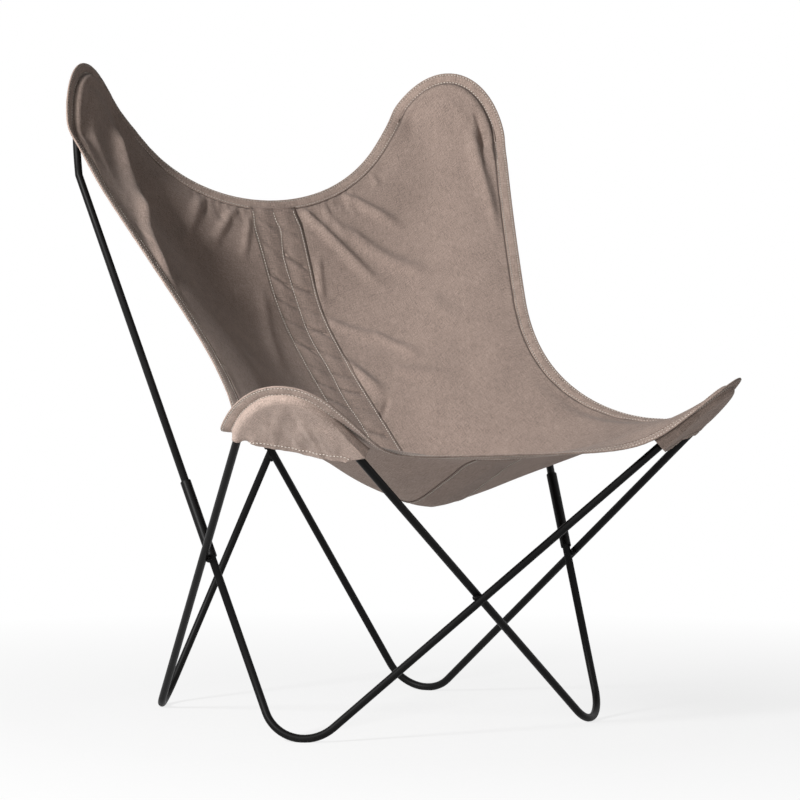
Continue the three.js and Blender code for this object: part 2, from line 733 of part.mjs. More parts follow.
function rimPoint(st, row, sign, rods) {
  const level = LAYER + row.over * (OVER_ROD - sign * st.lift - LAYER) * st.hold;
  const point = along(along(st.point, st.inward, row.from), st.normal, sign * level);
  const push = liftOver(rods, point, st.normal, sign, PANEL_THICKNESS / 2, st.tent);
  return along(point, st.normal, sign * push);
}

// The normals of a net of four-sided cells; those on the seam lie in the chair's middle plane
function netNormals(points, cells, onSeam = []) {
  const normals = points.map(() => vec(0, 0, 0));
  for (const [a, b, c, d] of cells) {
    const n = points[c].clone().sub(points[a]).cross(points[d].clone().sub(points[b]));
    for (const i of [a, b, c, d]) normals[i].add(n);
  }
  for (const i of onSeam) normals[i].x = 0;
  return normals.map((n) => n.normalize());
}

function meshGeometry(positions, index) {
  const geometry = new THREE.BufferGeometry();
  geometry.setAttribute("position", new THREE.BufferAttribute(new Float32Array(positions), 3));
  geometry.setIndex(index);
  geometry.computeVertexNormals();
  return geometry;
}

// A shell of even thickness about a net, closed round its rim
function shell(points, cells, normals, thickness) {
  const positions = [];
  for (const sign of [1, -1])
    points.forEach((p, i) => positions.push(...along(p, normals[i], (sign * thickness) / 2).toArray()));
  const under = points.length;
  const index = [];
  const rim = new Map();
  for (const [a, b, c, d] of cells) {
    index.push(a, b, c, a, c, d);
    index.push(under + c, under + b, under + a, under + d, under + c, under + a);
    for (const [p, q] of [[a, b], [b, c], [c, d], [d, a]])
      if (!rim.delete(q + "-" + p)) rim.set(p + "-" + q, [p, q]);
  }
  for (const [p, q] of rim.values()) index.push(q, p, under + p, q, under + p, under + q);
  return meshGeometry(positions, index);
}

// A closed tube through rings of equally many points, with flat ends
function loft(rings) {
  const sides = rings[0].length;
  const positions = rings.flat().flatMap((p) => p.toArray());
  const index = [];
  for (let r = 0; r < rings.length - 1; r++)
    for (let i = 0; i < sides; i++) {
      const j = (i + 1) % sides;
      const [a, b] = [r * sides + i, r * sides + j];
      index.push(a, b, b + sides, a, b + sides, a + sides);
    }
  const last = (rings.length - 1) * sides;
  for (let i = 1; i < sides - 1; i++) {
    index.push(0, i + 1, i);
    index.push(last, last + i, last + i + 1);
  }
  return meshGeometry(positions, index);
}

// Cells in the order that turns a net's normals towards the sitter
const facing = (cells, side) => (side < 0 ? cells : cells.map(([a, b, c, d]) => [a, d, c, b]));

// One half of the sling: the stations round its outline, its middle surface's points and cells
function halfSling(side) {
  const outline = slingOutline(side);
  const rods = rodPoints(side);
  const { station, seam } = stationsRound(side, outline, rods);
  const round = [];
  for (let k = 0; k <= CELLS_ACROSS; k++) round.push(station("back", columnShare(k, outline.back.length)));
  for (let k = 1; k <= CELLS_ALONG; k++) round.push(station("side", crowdBoth(k / CELLS_ALONG)));
  for (let k = CELLS_ACROSS - 1; k >= 0; k--)
    round.push(station("front", columnShare(k, outline.frontEdge.length)));
  for (const st of [round[0], round.at(-1)]) {
    st.inward.x = 0;
    st.inward.normalize();
    st.normal.x = 0;
    st.normal.normalize();
    st.point.x = (side * SEAM_GAP) / 2;
  }
  const rows = RIM.map((row) => round.map((st) => rimPoint(st, row, 1, rods)));
  const inner = rows.at(-1);
  const points = rows.slice(0, -1).flat();
  const count = round.length;
  const back = inner.slice(0, CELLS_ACROSS + 1);
  const sideEdge = inner.slice(CELLS_ACROSS, CELLS_ACROSS + CELLS_ALONG + 1);
  const front = inner.slice(CELLS_ACROSS + CELLS_ALONG).reverse();
  const seamStart = INNER / seam.length;
  const start = points.length;
  const place = (k, l) => start + k * (CELLS_ALONG + 1) + l;
  const seamPoint = (v) => {
    const point = seam.at(seamStart + v * (1 - 2 * seamStart));
    point.add(back[0].clone().sub(seam.at(seamStart)).multiplyScalar(1 - v));
    point.add(front[0].clone().sub(seam.at(1 - seamStart)).multiplyScalar(v));
    point.x = (side * SEAM_GAP) / 2;
    return point;
  };
  const [e0, e1] = [back.at(-1), front.at(-1)];
  for (let k = 0; k <= CELLS_ACROSS; k++)
    for (let l = 0; l <= CELLS_ALONG; l++) {
      const v = crowdBoth(l / CELLS_ALONG);
      const c = seamPoint(v);
      const e = sideEdge[l];
      const u = columnShare(k, c.distanceTo(e));
      let point;
      if (l === 0) point = back[k];
      else if (l === CELLS_ALONG) point = front[k];
      else if (k === CELLS_ACROSS) point = e;
      else if (k === 0) point = c;
      else
        point = stretched(u, v, c, e, back[k], back[0], e0, front[k], front[0], e1);
      points.push(point);
    }
  const cells = [];
  for (let r = 0; r < RIM.length - 2; r++)
    for (let i = 0; i < count - 1; i++)
      cells.push([r * count + i, r * count + i + 1, (r + 1) * count + i + 1, (r + 1) * count + i]);
  const last = (RIM.length - 2) * count;
  const gridAt = (i) => {
    if (i <= CELLS_ACROSS) return place(i, 0);
    if (i <= CELLS_ACROSS + CELLS_ALONG) return place(CELLS_ACROSS, i - CELLS_ACROSS);
    return place(count - 1 - i, CELLS_ALONG);
  };
  for (let i = 0; i < count - 1; i++) cells.push([last + i, last + i + 1, gridAt(i + 1), gridAt(i)]);
  for (let k = 0; k < CELLS_ACROSS; k++)
    for (let l = 0; l < CELLS_ALONG; l++)
      cells.push([place(k, l), place(k + 1, l), place(k + 1, l + 1), place(k, l + 1)]);
  const column = (k) => {
    const rim = (i) => RIM.slice(0, -1).map((_, r) => r * count + i);
    const grid = [];
    for (let l = 0; l <= CELLS_ALONG; l++) grid.push(place(k, l));
    return [...rim(k), ...grid, ...rim(count - 1 - k).reverse()];
  };
  for (const i of column(1)) points[i].x = (side * STRAP_WIDTH) / 2;
  const net = facing(cells, side);
  const cleared = points.map((point, i) => {
    if (i < start || inner.includes(point)) return point;
    const nearRear = (i - start) % (CELLS_ALONG + 1) < CELLS_ALONG / 2;
    const { normal } = nearRear ? outline.rear : outline.front;
    return along(point, normal, liftOver(rods, point, normal, 1, PANEL_THICKNESS / 2, 1));
  });
  return {
    side,
    outline,
    rods,
    column,
    stations: round,
    station,
    points: cleared,
    cells: net,
    normals: netNormals(cleared, net, column(0)),
  };
}

// How high a net lies over a point along a normal, or nothing where it doesn't
function heightOfNet(half, point, normal) {
  const ray = new THREE.Ray(along(point, normal, -TENT_REACH), normal);
  const hit = vec(0, 0, 0);
  for (const [a, b, c, d] of half.cells) {
    const corners = [a, b, c, d].map((i) => half.points[i]);
    if (corners[0].distanceTo(point) > 2 * TENT_REACH) continue;
    for (const [i, j, k] of [[0, 1, 2], [0, 2, 3]])
      if (ray.intersectTriangle(corners[i], corners[j], corners[k], false, hit))
        return hit.sub(point).dot(normal);
  }
  return undefined;
}

// A pocket hangs under an ear, sewn into the edge band round the ear's rod and open at its hem,
// where the two legs come out
function pocket(half, end) {
  const { outline, rods, station } = half;
  const { back, side: sideEdge, frontEdge, spans } = outline;
  const ends = {
    rear: {
      own: outline.rear,
      line: "back",
      inner: back,
      innerReach: back.length - spans.back + REAR_POCKET_BACK_REACH,
      sideReach: spans.sideStart + REAR_POCKET_SIDE_REACH,
      sideShare: (way) => way / sideEdge.length,
    },
    front: {
      own: outline.front,
      line: "front",
      inner: frontEdge,
      innerReach: spans.front + FRONT_POCKET_INNER_REACH,
      sideReach: spans.sideEnd + FRONT_POCKET_SIDE_REACH,
      sideShare: (way) => 1 - way / sideEdge.length,
    },
  };
  const { own, line, inner, innerReach, sideReach, sideShare } = ends[end];
  // How far round the ear a station lies: from the tip, less than nothing on its inner side
  const wayOf = (st) => {
    if (st.name === "side") return sideEdge.length * sideShare(st.share * sideEdge.length);
    return st.name === line ? (st.share - 1) * inner.length : Infinity;
  };
  const least = LEAST_STEP_SHARE * EASE_STEP;
  const within = (way) => way > least - innerReach && way < sideReach - least;
  const shared = half.stations.filter((st) => within(wayOf(st)));
  const stations = [
    station(line, 1 - innerReach / inner.length),
    ...shared.sort((p, q) => wayOf(p) - wayOf(q)),
    station("side", sideShare(sideReach)),
  ].map((st) => {
    const inward = along(st.inward, own.normal, -st.inward.dot(own.normal)).normalize();
    return { ...st, hold: 1, inward, normal: own.normal };
  });
  const below = (point, normal) => {
    const height = heightOfNet(half, point, normal);
    if (height === undefined) return point;
    return along(point, normal, Math.min(0, height - PANEL_THICKNESS - CLOTH_GAP - POCKET_SLACK));
  };
  const rows = RIM.map((row) =>
    stations.map((st) => {
      const point = along(rimPoint(st, row, -1, rods), own.normal, -row.over * POCKET_SLACK);
      return row.over > 0 ? below(point, own.normal) : point;
    }),
  );
  const hemLevel = OVER_ROD + POCKET_SLACK;
  const hemEnd = (st) => along(along(st.point, st.inward, POCKET_HEM_START), own.normal, -hemLevel);
  const from = hemEnd(stations[0]);
  const to = hemEnd(stations.at(-1));
  for (let r = 1; r <= POCKET_ROWS; r++)
    rows.push(
      rows[RIM.length - 1].map((point, i) => {
        const hem = between(from, to, i / (stations.length - 1));
        const free = between(point, hem, r / POCKET_ROWS);
        const push = liftOver(rods, free, own.normal, -1, PANEL_THICKNESS / 2, 1);
        return below(along(free, own.normal, -push), own.normal);
      }),
    );
  const points = rows.flat();
  const count = stations.length;
  const cells = [];
  for (let r = 0; r < rows.length - 1; r++)
    for (let i = 0; i < count - 1; i++)
      cells.push([r * count + i, r * count + i + 1, (r + 1) * count + i + 1, (r + 1) * count + i]);
  const inTheMiddle = netNormals(points, cells)[2 * count + Math.floor(count / 2)];
  const net = inTheMiddle.dot(own.normal) > 0 ? cells : cells.map((cell) => [...cell].reverse());
  return shell(points, net, netNormals(points, net), PANEL_THICKNESS);
}

// A band along the sling's edge, as wide as the sewn margin
function edgeBand(stations) {
  const half = BAND_THICKNESS / 2;
  const rings = stations.map((st, i) => {
    let ends = 0;
    if (i === 0) ends = 1;
    if (i === stations.length - 1) ends = -1;
    const next = stations[Math.min(i + 1, stations.length - 1)].point;
    const before = stations[Math.max(i - 1, 0)].point;
    const point = along(st.point, unitTo(before, next), (ends * SEAM_GAP) / 2);
    const inside = along(point, st.inward, BAND_WIDTH);
    return [
      along(point, st.normal, half),
      along(point, st.normal, -half),
      along(inside, st.normal, -half),
      along(inside, st.normal, half),
    ];
  });
  return loft(rings);
}

// The strap on the middle seam, and the tape under it, from the net's first columns
function middleStrip(halves, sign, thickness) {
  const rise = sign * (PANEL_THICKNESS / 2 + CLOTH_GAP + thickness / 2);
  const lines = [
    [halves[1], 1],
    [halves[1], 0],
    [halves[-1], 1],
  ].map(([half, k]) =>
    half.column(k).map((i) => {
      const point = along(half.points[i], half.normals[i], rise);
      if (k === 0) point.x = 0;
      return point;
    }),
  );
  const count = lines[0].length;
  const points = lines.flat();
  const cells = [];
  for (let i = 0; i < count - 1; i++) {
    cells.push([count + i, i, i + 1, count + i + 1]);
    cells.push([count + i, count + i + 1, 2 * count + i + 1, 2 * count + i]);
  }
  return shell(points, cells, netNormals(points, cells), thickness);
}

// Faces turned outwards, whichever side of the chair a piece is made for
function outward(geometry) {
  const merged = mergeVertices(bareOf(geometry), 1e-4);
  const p = merged.attributes.position;
  const index = merged.index.array;
  const [a, b, c] = [vec(0, 0, 0), vec(0, 0, 0), vec(0, 0, 0)];
  let volume = 0;
  for (let i = 0; i < index.length; i += 3) {
    a.fromBufferAttribute(p, index[i]);
    b.fromBufferAttribute(p, index[i + 1]);
    c.fromBufferAttribute(p, index[i + 2]);
    volume += a.dot(b.cross(c));
  }
  if (volume < 0)
    for (let i = 0; i < index.length; i += 3) [index[i + 1], index[i + 2]] = [index[i + 2], index[i + 1]];
  merged.computeVertexNormals();
  return merged;
}

const chair = new THREE.Group();

function add(name, geometry, material) {
  const mesh = new THREE.Mesh(outward(geometry), material);
  mesh.name = name;
  chair.add(mesh);
}

const sideName = { 1: "left", [-1]: "right" };

for (const side of [1, -1]) {
  const name = sideName[side];
  add(name + "_base_rod", baseRod(side), STEEL);
  add(name + "_back_loop", backLoop(side), STEEL);
  add(name + "_side_socket", socketTube(sideSocketEnds(side)), STEEL);
  add(name + "_rear_socket", socketTube(rearSocketEnds(side)), STEEL);
  const cuts = [socketCut(sideSocketEnds(side))];
  add(name + "_side_weld_front", bead(sideCrossing(side), [-1, 1], cuts), STEEL);
  add(name + "_side_weld_back", bead(sideCrossing(side), [1, -1], cuts), STEEL);
}
add("front_weld_left", bead(frontCrossing(), [1, -1]), STEEL);
add("front_weld_right", bead(frontCrossing(), [-1, 1]), STEEL);
const rearCuts = [socketCut(rearSocketEnds(1)), socketCut(rearSocketEnds(-1))];
add("rear_weld_upper", bead(rearCrossing(1), [1, 1], rearCuts), STEEL);
add("rear_weld_lower", bead(rearCrossing(1), [-1, -1], rearCuts), STEEL);

const halves = { 1: halfSling(1), [-1]: halfSling(-1) };
for (const side of [1, -1]) {
  const name = sideName[side];
  const half = halves[side];
  add(name + "_sling_panel", shell(half.points, half.cells, half.normals, PANEL_THICKNESS), CANVAS);
  add(name + "_back_pocket", pocket(half, "rear"), CANVAS_DARK);
  add(name + "_front_pocket", pocket(half, "front"), CANVAS_DARK);
  const around = half.stations.slice(CELLS_ACROSS, CELLS_ACROSS + CELLS_ALONG + 1);
  add(name + "_edge_band", edgeBand(around), CANVAS);
}
const rowOf = (from, to) => {
  const left = halves[1].stations.slice(from, to);
  const right = halves[-1].stations.slice(from, to);
  return from === 0 ? [...left.reverse(), ...right.slice(1)] : [...left, ...right.reverse().slice(1)];
};
add("back_edge_band", edgeBand(rowOf(0, CELLS_ACROSS + 1)), CANVAS);
add("front_edge_band", edgeBand(rowOf(CELLS_ACROSS + CELLS_ALONG)), CANVAS);
add("centre_strap", middleStrip(halves, 1, STRAP_THICKNESS), CANVAS);
add("seam_tape", middleStrip(halves, -1, TAPE_THICKNESS), CANVAS);

// The origin is on the floor, under the middle of the chair's box
const box = new THREE.Box3().setFromObject(chair);
chair.position.y = -(box.min.y + box.max.y) / 2;

export default chair;
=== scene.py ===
"""A butterfly sling chair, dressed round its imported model.

A taupe canvas sling hangs by four corner pockets on two crossing loops of thin black rod.
Sizes are metres in the model's own frame: +Z up, the sitter faces -Y, +X is the sitter's left.
The sling is worked out from the same dimensions as its solids, on a finer grid, with the
folds, gathers, hems and stitches that the solids leave out.
"""

import math

import bpy
import numpy as np
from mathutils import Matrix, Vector


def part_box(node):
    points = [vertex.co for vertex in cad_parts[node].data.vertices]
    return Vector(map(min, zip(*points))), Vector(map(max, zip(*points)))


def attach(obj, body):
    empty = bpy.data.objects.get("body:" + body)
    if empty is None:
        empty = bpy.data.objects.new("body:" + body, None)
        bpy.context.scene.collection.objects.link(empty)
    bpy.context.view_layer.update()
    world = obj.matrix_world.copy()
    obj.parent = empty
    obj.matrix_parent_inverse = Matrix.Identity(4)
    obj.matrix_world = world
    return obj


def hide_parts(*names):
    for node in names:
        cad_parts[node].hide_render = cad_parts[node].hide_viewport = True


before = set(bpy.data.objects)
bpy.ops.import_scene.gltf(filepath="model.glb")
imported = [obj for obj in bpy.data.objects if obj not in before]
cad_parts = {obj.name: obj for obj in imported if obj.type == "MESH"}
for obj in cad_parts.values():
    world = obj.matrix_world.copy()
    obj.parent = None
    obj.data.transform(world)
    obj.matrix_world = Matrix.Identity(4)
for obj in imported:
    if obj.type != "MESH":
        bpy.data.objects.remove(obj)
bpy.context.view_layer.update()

# Rods, sleeves and welds
ROD_DIAMETER = 0.011
SLEEVE_DIAMETER = 0.015
SLEEVE_BORE = 0.0116
SLEEVE_LENGTH = 0.118
SLEEVE_CHAMFER = 0.0007
ROD_END_GAP = 0.002
WELD_GAP = 0.0003
BEAD_RADIUS = 0.0064

# Feet and ears of the frame: the corners of the legs' straight lines and the bends in them
FRONT_FEET_SPREAD = 0.5148
FEET_DEPTH = 0.4818
FOOT_BEND_RADIUS = 0.058
FOOT_FLAT_DEPTH = 0.0005
FRONT_EAR = np.array([0.3942, -0.4573, 0.5357])
FRONT_BEND_OUTER_HEIGHT = 0.4124
FRONT_BEND_INNER_HEIGHT = 0.4316
FRONT_BEND_OUTER_PULL = 0.095
FRONT_BEND_INNER_PULL = 0.091
REAR_EAR = np.array([0.3751, 0.3811, 1.0346])
SIDE_KINK_HEIGHT = 0.768
REAR_KINK_HEIGHT = 0.700
SIDE_PULL = np.array([0.357, 0.240, 0.944])
REAR_PULL = np.array([0.266, 0.346, 0.982])

# Canvas
CLOTH = 0.0012
BAND_WIDTH = 0.017
BAND_THICKNESS = 0.0034
OUTLINE_REACH = 0.026
ROD_COVER = 0.0012
TENT_RISE = 1.1
TENT_REACH = 0.08
BROAD_REACH = 0.14
STRAP_WIDTH = 0.075
STRAP_STITCH = 0.034
POCKET_SLACK = 0.0018
POCKET_SAG = 0.004
HEM_FOLD = 0.009
STITCH_PITCH = 0.0046

# The sling's outline and its sheet
REAR_OUTLINE_SET_BACK = 0.0026
FRONT_OUTLINE_LIFT = 0.0011
BACK_MIDDLE = np.array([0, 0.299, 0.735])
BACK_EDGE_PULL = 0.169
BACK_EAR_PULL = 0.010
FRONT_MIDDLE = np.array([0, -0.3936, 0.387])
FRONT_EDGE_PULL = 0.211
FRONT_EAR_PULL = 0.124
WAIST = np.array([0.284, 0.030, 0.589])
WAIST_PULL = np.array([-0.064, -0.166, -0.196])
SIDE_REAR_PULL = 0.020
SIDE_FRONT_PULL = 0.015
SEAT_LOW_HEIGHT = 0.3065
SEAT_SWELL = 0.0106

# Shares along the ears' bends: where the outline joins them, and their tips
REAR_SIDE_SHARE, REAR_TIP_SHARE, REAR_BACK_SHARE = 0.138, 0.45, 0.73
FRONT_SIDE_SHARE, FRONT_TIP_SHARE, FRONT_INNER_SHARE = 0.026, 0.5, 0.908

# The middle seam: shares of the way from back edge to front edge, and of the height
SEAM_SHARES = np.array([
    (0, 1), (0.062, 0.823), (0.139, 0.61), (0.256, 0.433),
    (0.403, 0.2485), (0.554, 0.076), (0.699, 0), (0.843, 0.078),
])
ROUNDNESS_SHARE = 0.3
BACK_POWER, FRONT_POWER = 3, 6
SWELL_PLACE_SHARE, SWELL_LENGTH_SHARE = 0.82, 0.26
COLUMNS = 14
CROWDING_SHARE = 0.5
PROBE_SHARE = 0.02
EAR_FADE = 0.05
EASE_STEP = 0.018
EASE_SHARES = np.array([1, 2, 3, 2, 1]) / 9
POINT_SPREAD, TURN_SPREAD, PUSH_SPREAD = 0.008, 0.018, 0.02
GATHERS_FROM, GATHERS_TO, GATHER_PITCH = 0.042, 0.145, 0.0135

# Fineness of the pieces
CELLS_ACROSS = 140
CELLS_ALONG = 236
FINE = 160
BEND_STEPS = 20
ROD_SIDES = 28
ROD_STEP = 0.005


def unit(v):
    """Each vector divided by its length."""
    return v / np.linalg.norm(v, axis=-1, keepdims=True)


def mix(a, b, share):
    """The point that lies a share of the way from a to b."""
    return a + (b - a) * np.asarray(share)[..., None]


def smooth(x):
    """3x^2 - 2x^3 between 0 and 1, level outside."""
    x = np.clip(x, 0, 1)
    return x * x * (3 - 2 * x)


def bell(x, width):
    return np.exp(-((x / width) ** 2))


def dot(a, b):
    return (a * b).sum(-1)


def at_height(a, b, height):
    """The point of the line a-b at a height."""
    return a + (b - a) * (height - a[2]) / (b[2] - a[2])


def mirrored(point, side):
    return point * np.array([side, 1, 1])


class Bezier:
    """A cubic curve: its four points, each times its Bernstein weight at t."""

    def __init__(self, *points):
        self.points = np.array(points, float)

    def point(self, t):
        t = np.asarray(t, float)[..., None]
        weights = ((1 - t) ** 3, 3 * t * (1 - t) ** 2, 3 * t * t * (1 - t), t**3)
        return sum(w * p for w, p in zip(weights, self.points))

    def tangent(self, t):
        t = np.asarray(t, float)[..., None]
        weights = ((1 - t) ** 2, 2 * t * (1 - t), t * t)
        return unit(sum(w * d for w, d in zip(weights, np.diff(self.points, axis=0))))


class Line:
    """A polyline, read by the share of its length."""

    def __init__(self, *parts):
        self.points = np.vstack([p if i == 0 else p[1:] for i, p in enumerate(parts)])
        steps = np.linalg.norm(np.diff(self.points, axis=0), axis=1)
        self.lengths = np.concatenate([[0], np.cumsum(steps)])
        self.length = self.lengths[-1]

    def at(self, share):
        way = np.clip(share, 0, 1) * self.length
        return np.stack([np.interp(way, self.lengths, self.points[:, a]) for a in range(3)], -1)

    def direction(self, share):
        step = PROBE_SHARE / 4
        return unit(self.at(share + step) - self.at(share - step))


def crossing(a0, a1, b0, b1):
    """Nearest points of two lines, their directions, the normal to both and the gap along it."""
    u, v = unit(a1 - a0), unit(b1 - b0)
    w, k = a0 - b0, u @ v
    a = a0 + u * (k * (v @ w) - u @ w) / (1 - k * k)
    b = b0 + v * (v @ w - k * (u @ w)) / (1 - k * k)
    normal = unit(np.cross(u, v))
    return {"a": a, "b": b, "u": u, "v": v, "normal": normal, "gap": (b - a) @ normal,
            "sine": math.sqrt(1 - k * k)}


def foot_height(leg, corner, other):
    """The corner's height at which its bend stands on the floor."""
    back, ahead = unit(leg - corner), unit(other - corner)
    half = math.acos(back @ ahead) / 2
    drop = FOOT_BEND_RADIUS * math.sqrt(1 - unit(np.cross(back, ahead))[2] ** 2)
    standing = ROD_DIAMETER / 2 - FOOT_FLAT_DEPTH
    return standing + drop - FOOT_BEND_RADIUS / math.sin(half) * unit(back + ahead)[2]


def side_pair(loops, side):
    """On one side: the leg from front foot to rear ear, and the leg that passes outside it."""
    inner, outer = loops[-side], loops[side]
    return inner["front_foot"], inner["rear_ear"], outer["rear_foot"], outer["front_ear"]


def lay_out_frame():
    """Both loops' corners, with the laps, feet and heights at which the rods just pass."""
    apart = ROD_DIAMETER + WELD_GAP
    laps = {"front": apart, "rear": apart}
    spread, floor = FRONT_FEET_SPREAD, {(s, e): 0.0 for s in (1, -1) for e in laps}
    for _ in range(12):
        loops = {}
        for s in (1, -1):
            front = np.array([0, -s * laps["front"] / 2, 0])
            rear = np.array([0, -s * laps["rear"] / 2, 0])
            foot = np.array([-s * FRONT_FEET_SPREAD / 2, -FEET_DEPTH / 2, floor[s, "front"]])
            heel = np.array([s * spread / 2, FEET_DEPTH / 2, floor[s, "rear"]])
            c = loops[s] = {"front_foot": foot + front, "front_ear": mirrored(FRONT_EAR, s) + front,
                            "rear_foot": heel + rear, "rear_ear": mirrored(REAR_EAR, -s) + rear}
            floor[s, "front"] = foot_height(c["rear_ear"], c["front_foot"], c["front_ear"])
            floor[s, "rear"] = foot_height(c["front_ear"], c["rear_foot"], c["rear_ear"])
        for end in laps:
            a, b = ([loops[s][end + "_foot"], loops[s][end + "_ear"]] for s in (1, -1))
            laps[end] *= apart / abs(crossing(*a, *b)["gap"])
        needs = []
        for s in (1, -1):
            outer, cross = loops[s], crossing(*side_pair(loops, s))
            whole = np.linalg.norm(outer["rear_foot"] - outer["front_ear"])
            reach = 1 - np.linalg.norm(outer["rear_foot"] - cross["b"]) / whole
            gap = cross["gap"] * s * np.sign(cross["normal"][0])
            needs.append((apart - gap) / (abs(cross["normal"][0]) * reach))
        spread += 2 * max(needs)
    return loops


LOOPS = lay_out_frame()


def front_bend(side):
    """The front ear's bend, from its outer leg to its inner leg."""
    c = LOOPS[side]
    outer = at_height(c["rear_foot"], c["front_ear"], FRONT_BEND_OUTER_HEIGHT)
    inner = at_height(c["front_foot"], c["front_ear"], FRONT_BEND_INNER_HEIGHT)
    return Bezier(outer, outer + unit(c["front_ear"] - c["rear_foot"]) * FRONT_BEND_OUTER_PULL,
                  inner + unit(c["front_ear"] - c["front_foot"]) * FRONT_BEND_INNER_PULL, inner)


def rear_bend(side):
    """The rear ear's arch, from the kink in its side leg to the kink in its rear leg."""
    c = LOOPS[-side]
    lap = np.array([0, c["rear_ear"][1] - REAR_EAR[1], 0])
    return Bezier(at_height(c["front_foot"], c["rear_ear"], SIDE_KINK_HEIGHT),
                  mirrored(SIDE_PULL, side) + lap, mirrored(REAR_PULL, side) + lap,
                  at_height(c["rear_foot"], c["rear_ear"], REAR_KINK_HEIGHT))


def foot_bend(leg, corner, other):
    """An arc of the foot's radius that touches both legs: centre + out r cos t - back r sin t."""
    back, ahead = unit(leg - corner), unit(other - corner)
    half = math.acos(back @ ahead) / 2
    start = corner + back * FOOT_BEND_RADIUS / math.tan(half)
    centre = corner + unit(back + ahead) * FOOT_BEND_RADIUS / math.sin(half)
    turn = np.linspace(0, math.pi - 2 * half, BEND_STEPS)[:, None]
    out = unit(start - centre)
    return centre + FOOT_BEND_RADIUS * (out * np.cos(turn) - back * np.sin(turn))


def rear_pair(side):
    own, other = LOOPS[-side], LOOPS[side]
    return own["rear_foot"], own["rear_ear"], other["rear_foot"], other["rear_ear"]


def sleeve_ends(side, end):
    """A sleeve's two ends: it starts where it clears the rod that crosses its own."""
    if end == "side":
        cross = crossing(*side_pair(LOOPS, side))
        apart = (SLEEVE_DIAMETER + ROD_DIAMETER) / 2 + WELD_GAP
        sine = cross["sine"]
    else:
        cross = crossing(*rear_pair(side))
        apart = SLEEVE_DIAMETER + WELD_GAP
        sine = 2 * math.sin(math.acos(cross["u"] @ cross["v"]) / 2)
    rise = math.sqrt(max(0, apart**2 - cross["gap"] ** 2)) / sine + WELD_GAP
    start = cross["a"] + cross["u"] * rise
    return start, start + cross["u"] * SLEEVE_LENGTH


def rod_end(side, end, sign):
    """Where a rod ends inside a sleeve: half the gap from its middle."""
    start, stop = sleeve_ends(side, end)
    return ((start + stop) / 2 + unit(stop - start) * sign * ROD_END_GAP / 2)[None]


def base_path(loop):
    c = LOOPS[loop]
    t = np.linspace(1, 0, 2 * BEND_STEPS)
    return np.vstack([
        rod_end(-loop, "side", -1), foot_bend(c["rear_ear"], c["front_foot"], c["front_ear"]),
        front_bend(loop).point(t), foot_bend(c["front_ear"], c["rear_foot"], c["rear_ear"]),
        rod_end(-loop, "rear", -1),
    ])


def back_path(side):
    t = np.linspace(0, 1, 3 * BEND_STEPS)
    return np.vstack([rod_end(side, "side", 1), rear_bend(side).point(t), rod_end(side, "rear", 1)])


def rods_near(side):
    """Points close together on the rods near the sling on one side."""
    front, rear, t = front_bend(side), rear_bend(side), np.linspace(0, 1, FINE)
    lines = [Line(front.point(t)), Line(rear.point(t))]
    for start, end in ((LOOPS[side]["rear_foot"], front.points[0]),
                       (LOOPS[side]["front_foot"], front.points[3]),
                       (LOOPS[-side]["front_foot"], rear.points[0]),
                       (LOOPS[-side]["rear_foot"], rear.points[3])):
        lines.append(Line(np.array([start, end])))
    points = np.vstack([ln.at(np.linspace(0, 1, int(ln.length / ROD_STEP) + 2)) for ln in lines])
    return points[points[:, 2] > SEAT_LOW_HEIGHT - TENT_REACH]


# How far the model was moved to bring its origin under the middle of its box
SLEEVE_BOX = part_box("left_side_socket")
SHIFT = (SLEEVE_BOX[0].y + SLEEVE_BOX[1].y) / 2 - np.mean(sleeve_ends(1, "side"), axis=0)[1]
MOVE = np.array([0, SHIFT, 0])


class Ear:
    """The plane of an ear's bend, and the outline that runs beside its rod, outside it."""

    def __init__(self, bend, towards_sitter, lift):
        self.bend, self.lift = bend, lift
        p = bend.points
        normal = unit(np.cross(p[1] - p[0], p[3] - p[0]))
        self.normal = normal * np.sign(normal @ towards_sitter)
        self.middle = (p[0] + p[3]) / 2
        outward = np.cross(self.normal, bend.tangent(0.5))
        self.turn = np.sign(outward @ (bend.point(0.5) - self.middle))

    def outline(self, start, end):
        """Points a fixed reach outside the bend and a fixed lift above its plane."""
        t = np.linspace(start, end, FINE)
        outward = np.cross(self.normal, self.bend.tangent(t)) * self.turn
        return self.bend.point(t) + outward * OUTLINE_REACH + self.normal * self.lift


def middle_seam():
    """A centripetal Catmull-Rom curve through the seam's shares."""
    depth, height = BACK_MIDDLE[1] - FRONT_MIDDLE[1], BACK_MIDDLE[2] - SEAT_LOW_HEIGHT
    way, rise = SEAM_SHARES.T
    points = np.stack([0 * way, BACK_MIDDLE[1] - way * depth, SEAT_LOW_HEIGHT + rise * height], 1)
    points = np.vstack([points, FRONT_MIDDLE])
    points = np.vstack([2 * points[0] - points[1], points, 2 * points[-1] - points[-2]])
    spans = np.sqrt(np.linalg.norm(np.diff(points, axis=0), axis=1))
    t = np.linspace(0, 1, 24, endpoint=False)[:, None]
    hermite = (2 * t**3 - 3 * t**2 + 1, t**3 - 2 * t**2 + t, 3 * t**2 - 2 * t**3, t**3 - t**2)
    pieces = []
    for i in range(1, len(points) - 2):
        p0, p1, p2, p3 = points[i - 1:i + 3]
        d0, d1, d2 = spans[i - 1:i + 2]
        m1 = d1 * ((p1 - p0) / d0 - (p2 - p0) / (d0 + d1) + (p2 - p1) / d1)
        m2 = d1 * ((p2 - p1) / d1 - (p3 - p1) / (d1 + d2) + (p3 - p2) / d2)
        pieces.append(hermite[0] * p1 + hermite[1] * m1 + hermite[2] * p2 + hermite[3] * m2)
    return Line(np.vstack(pieces + [FRONT_MIDDLE[None]]))


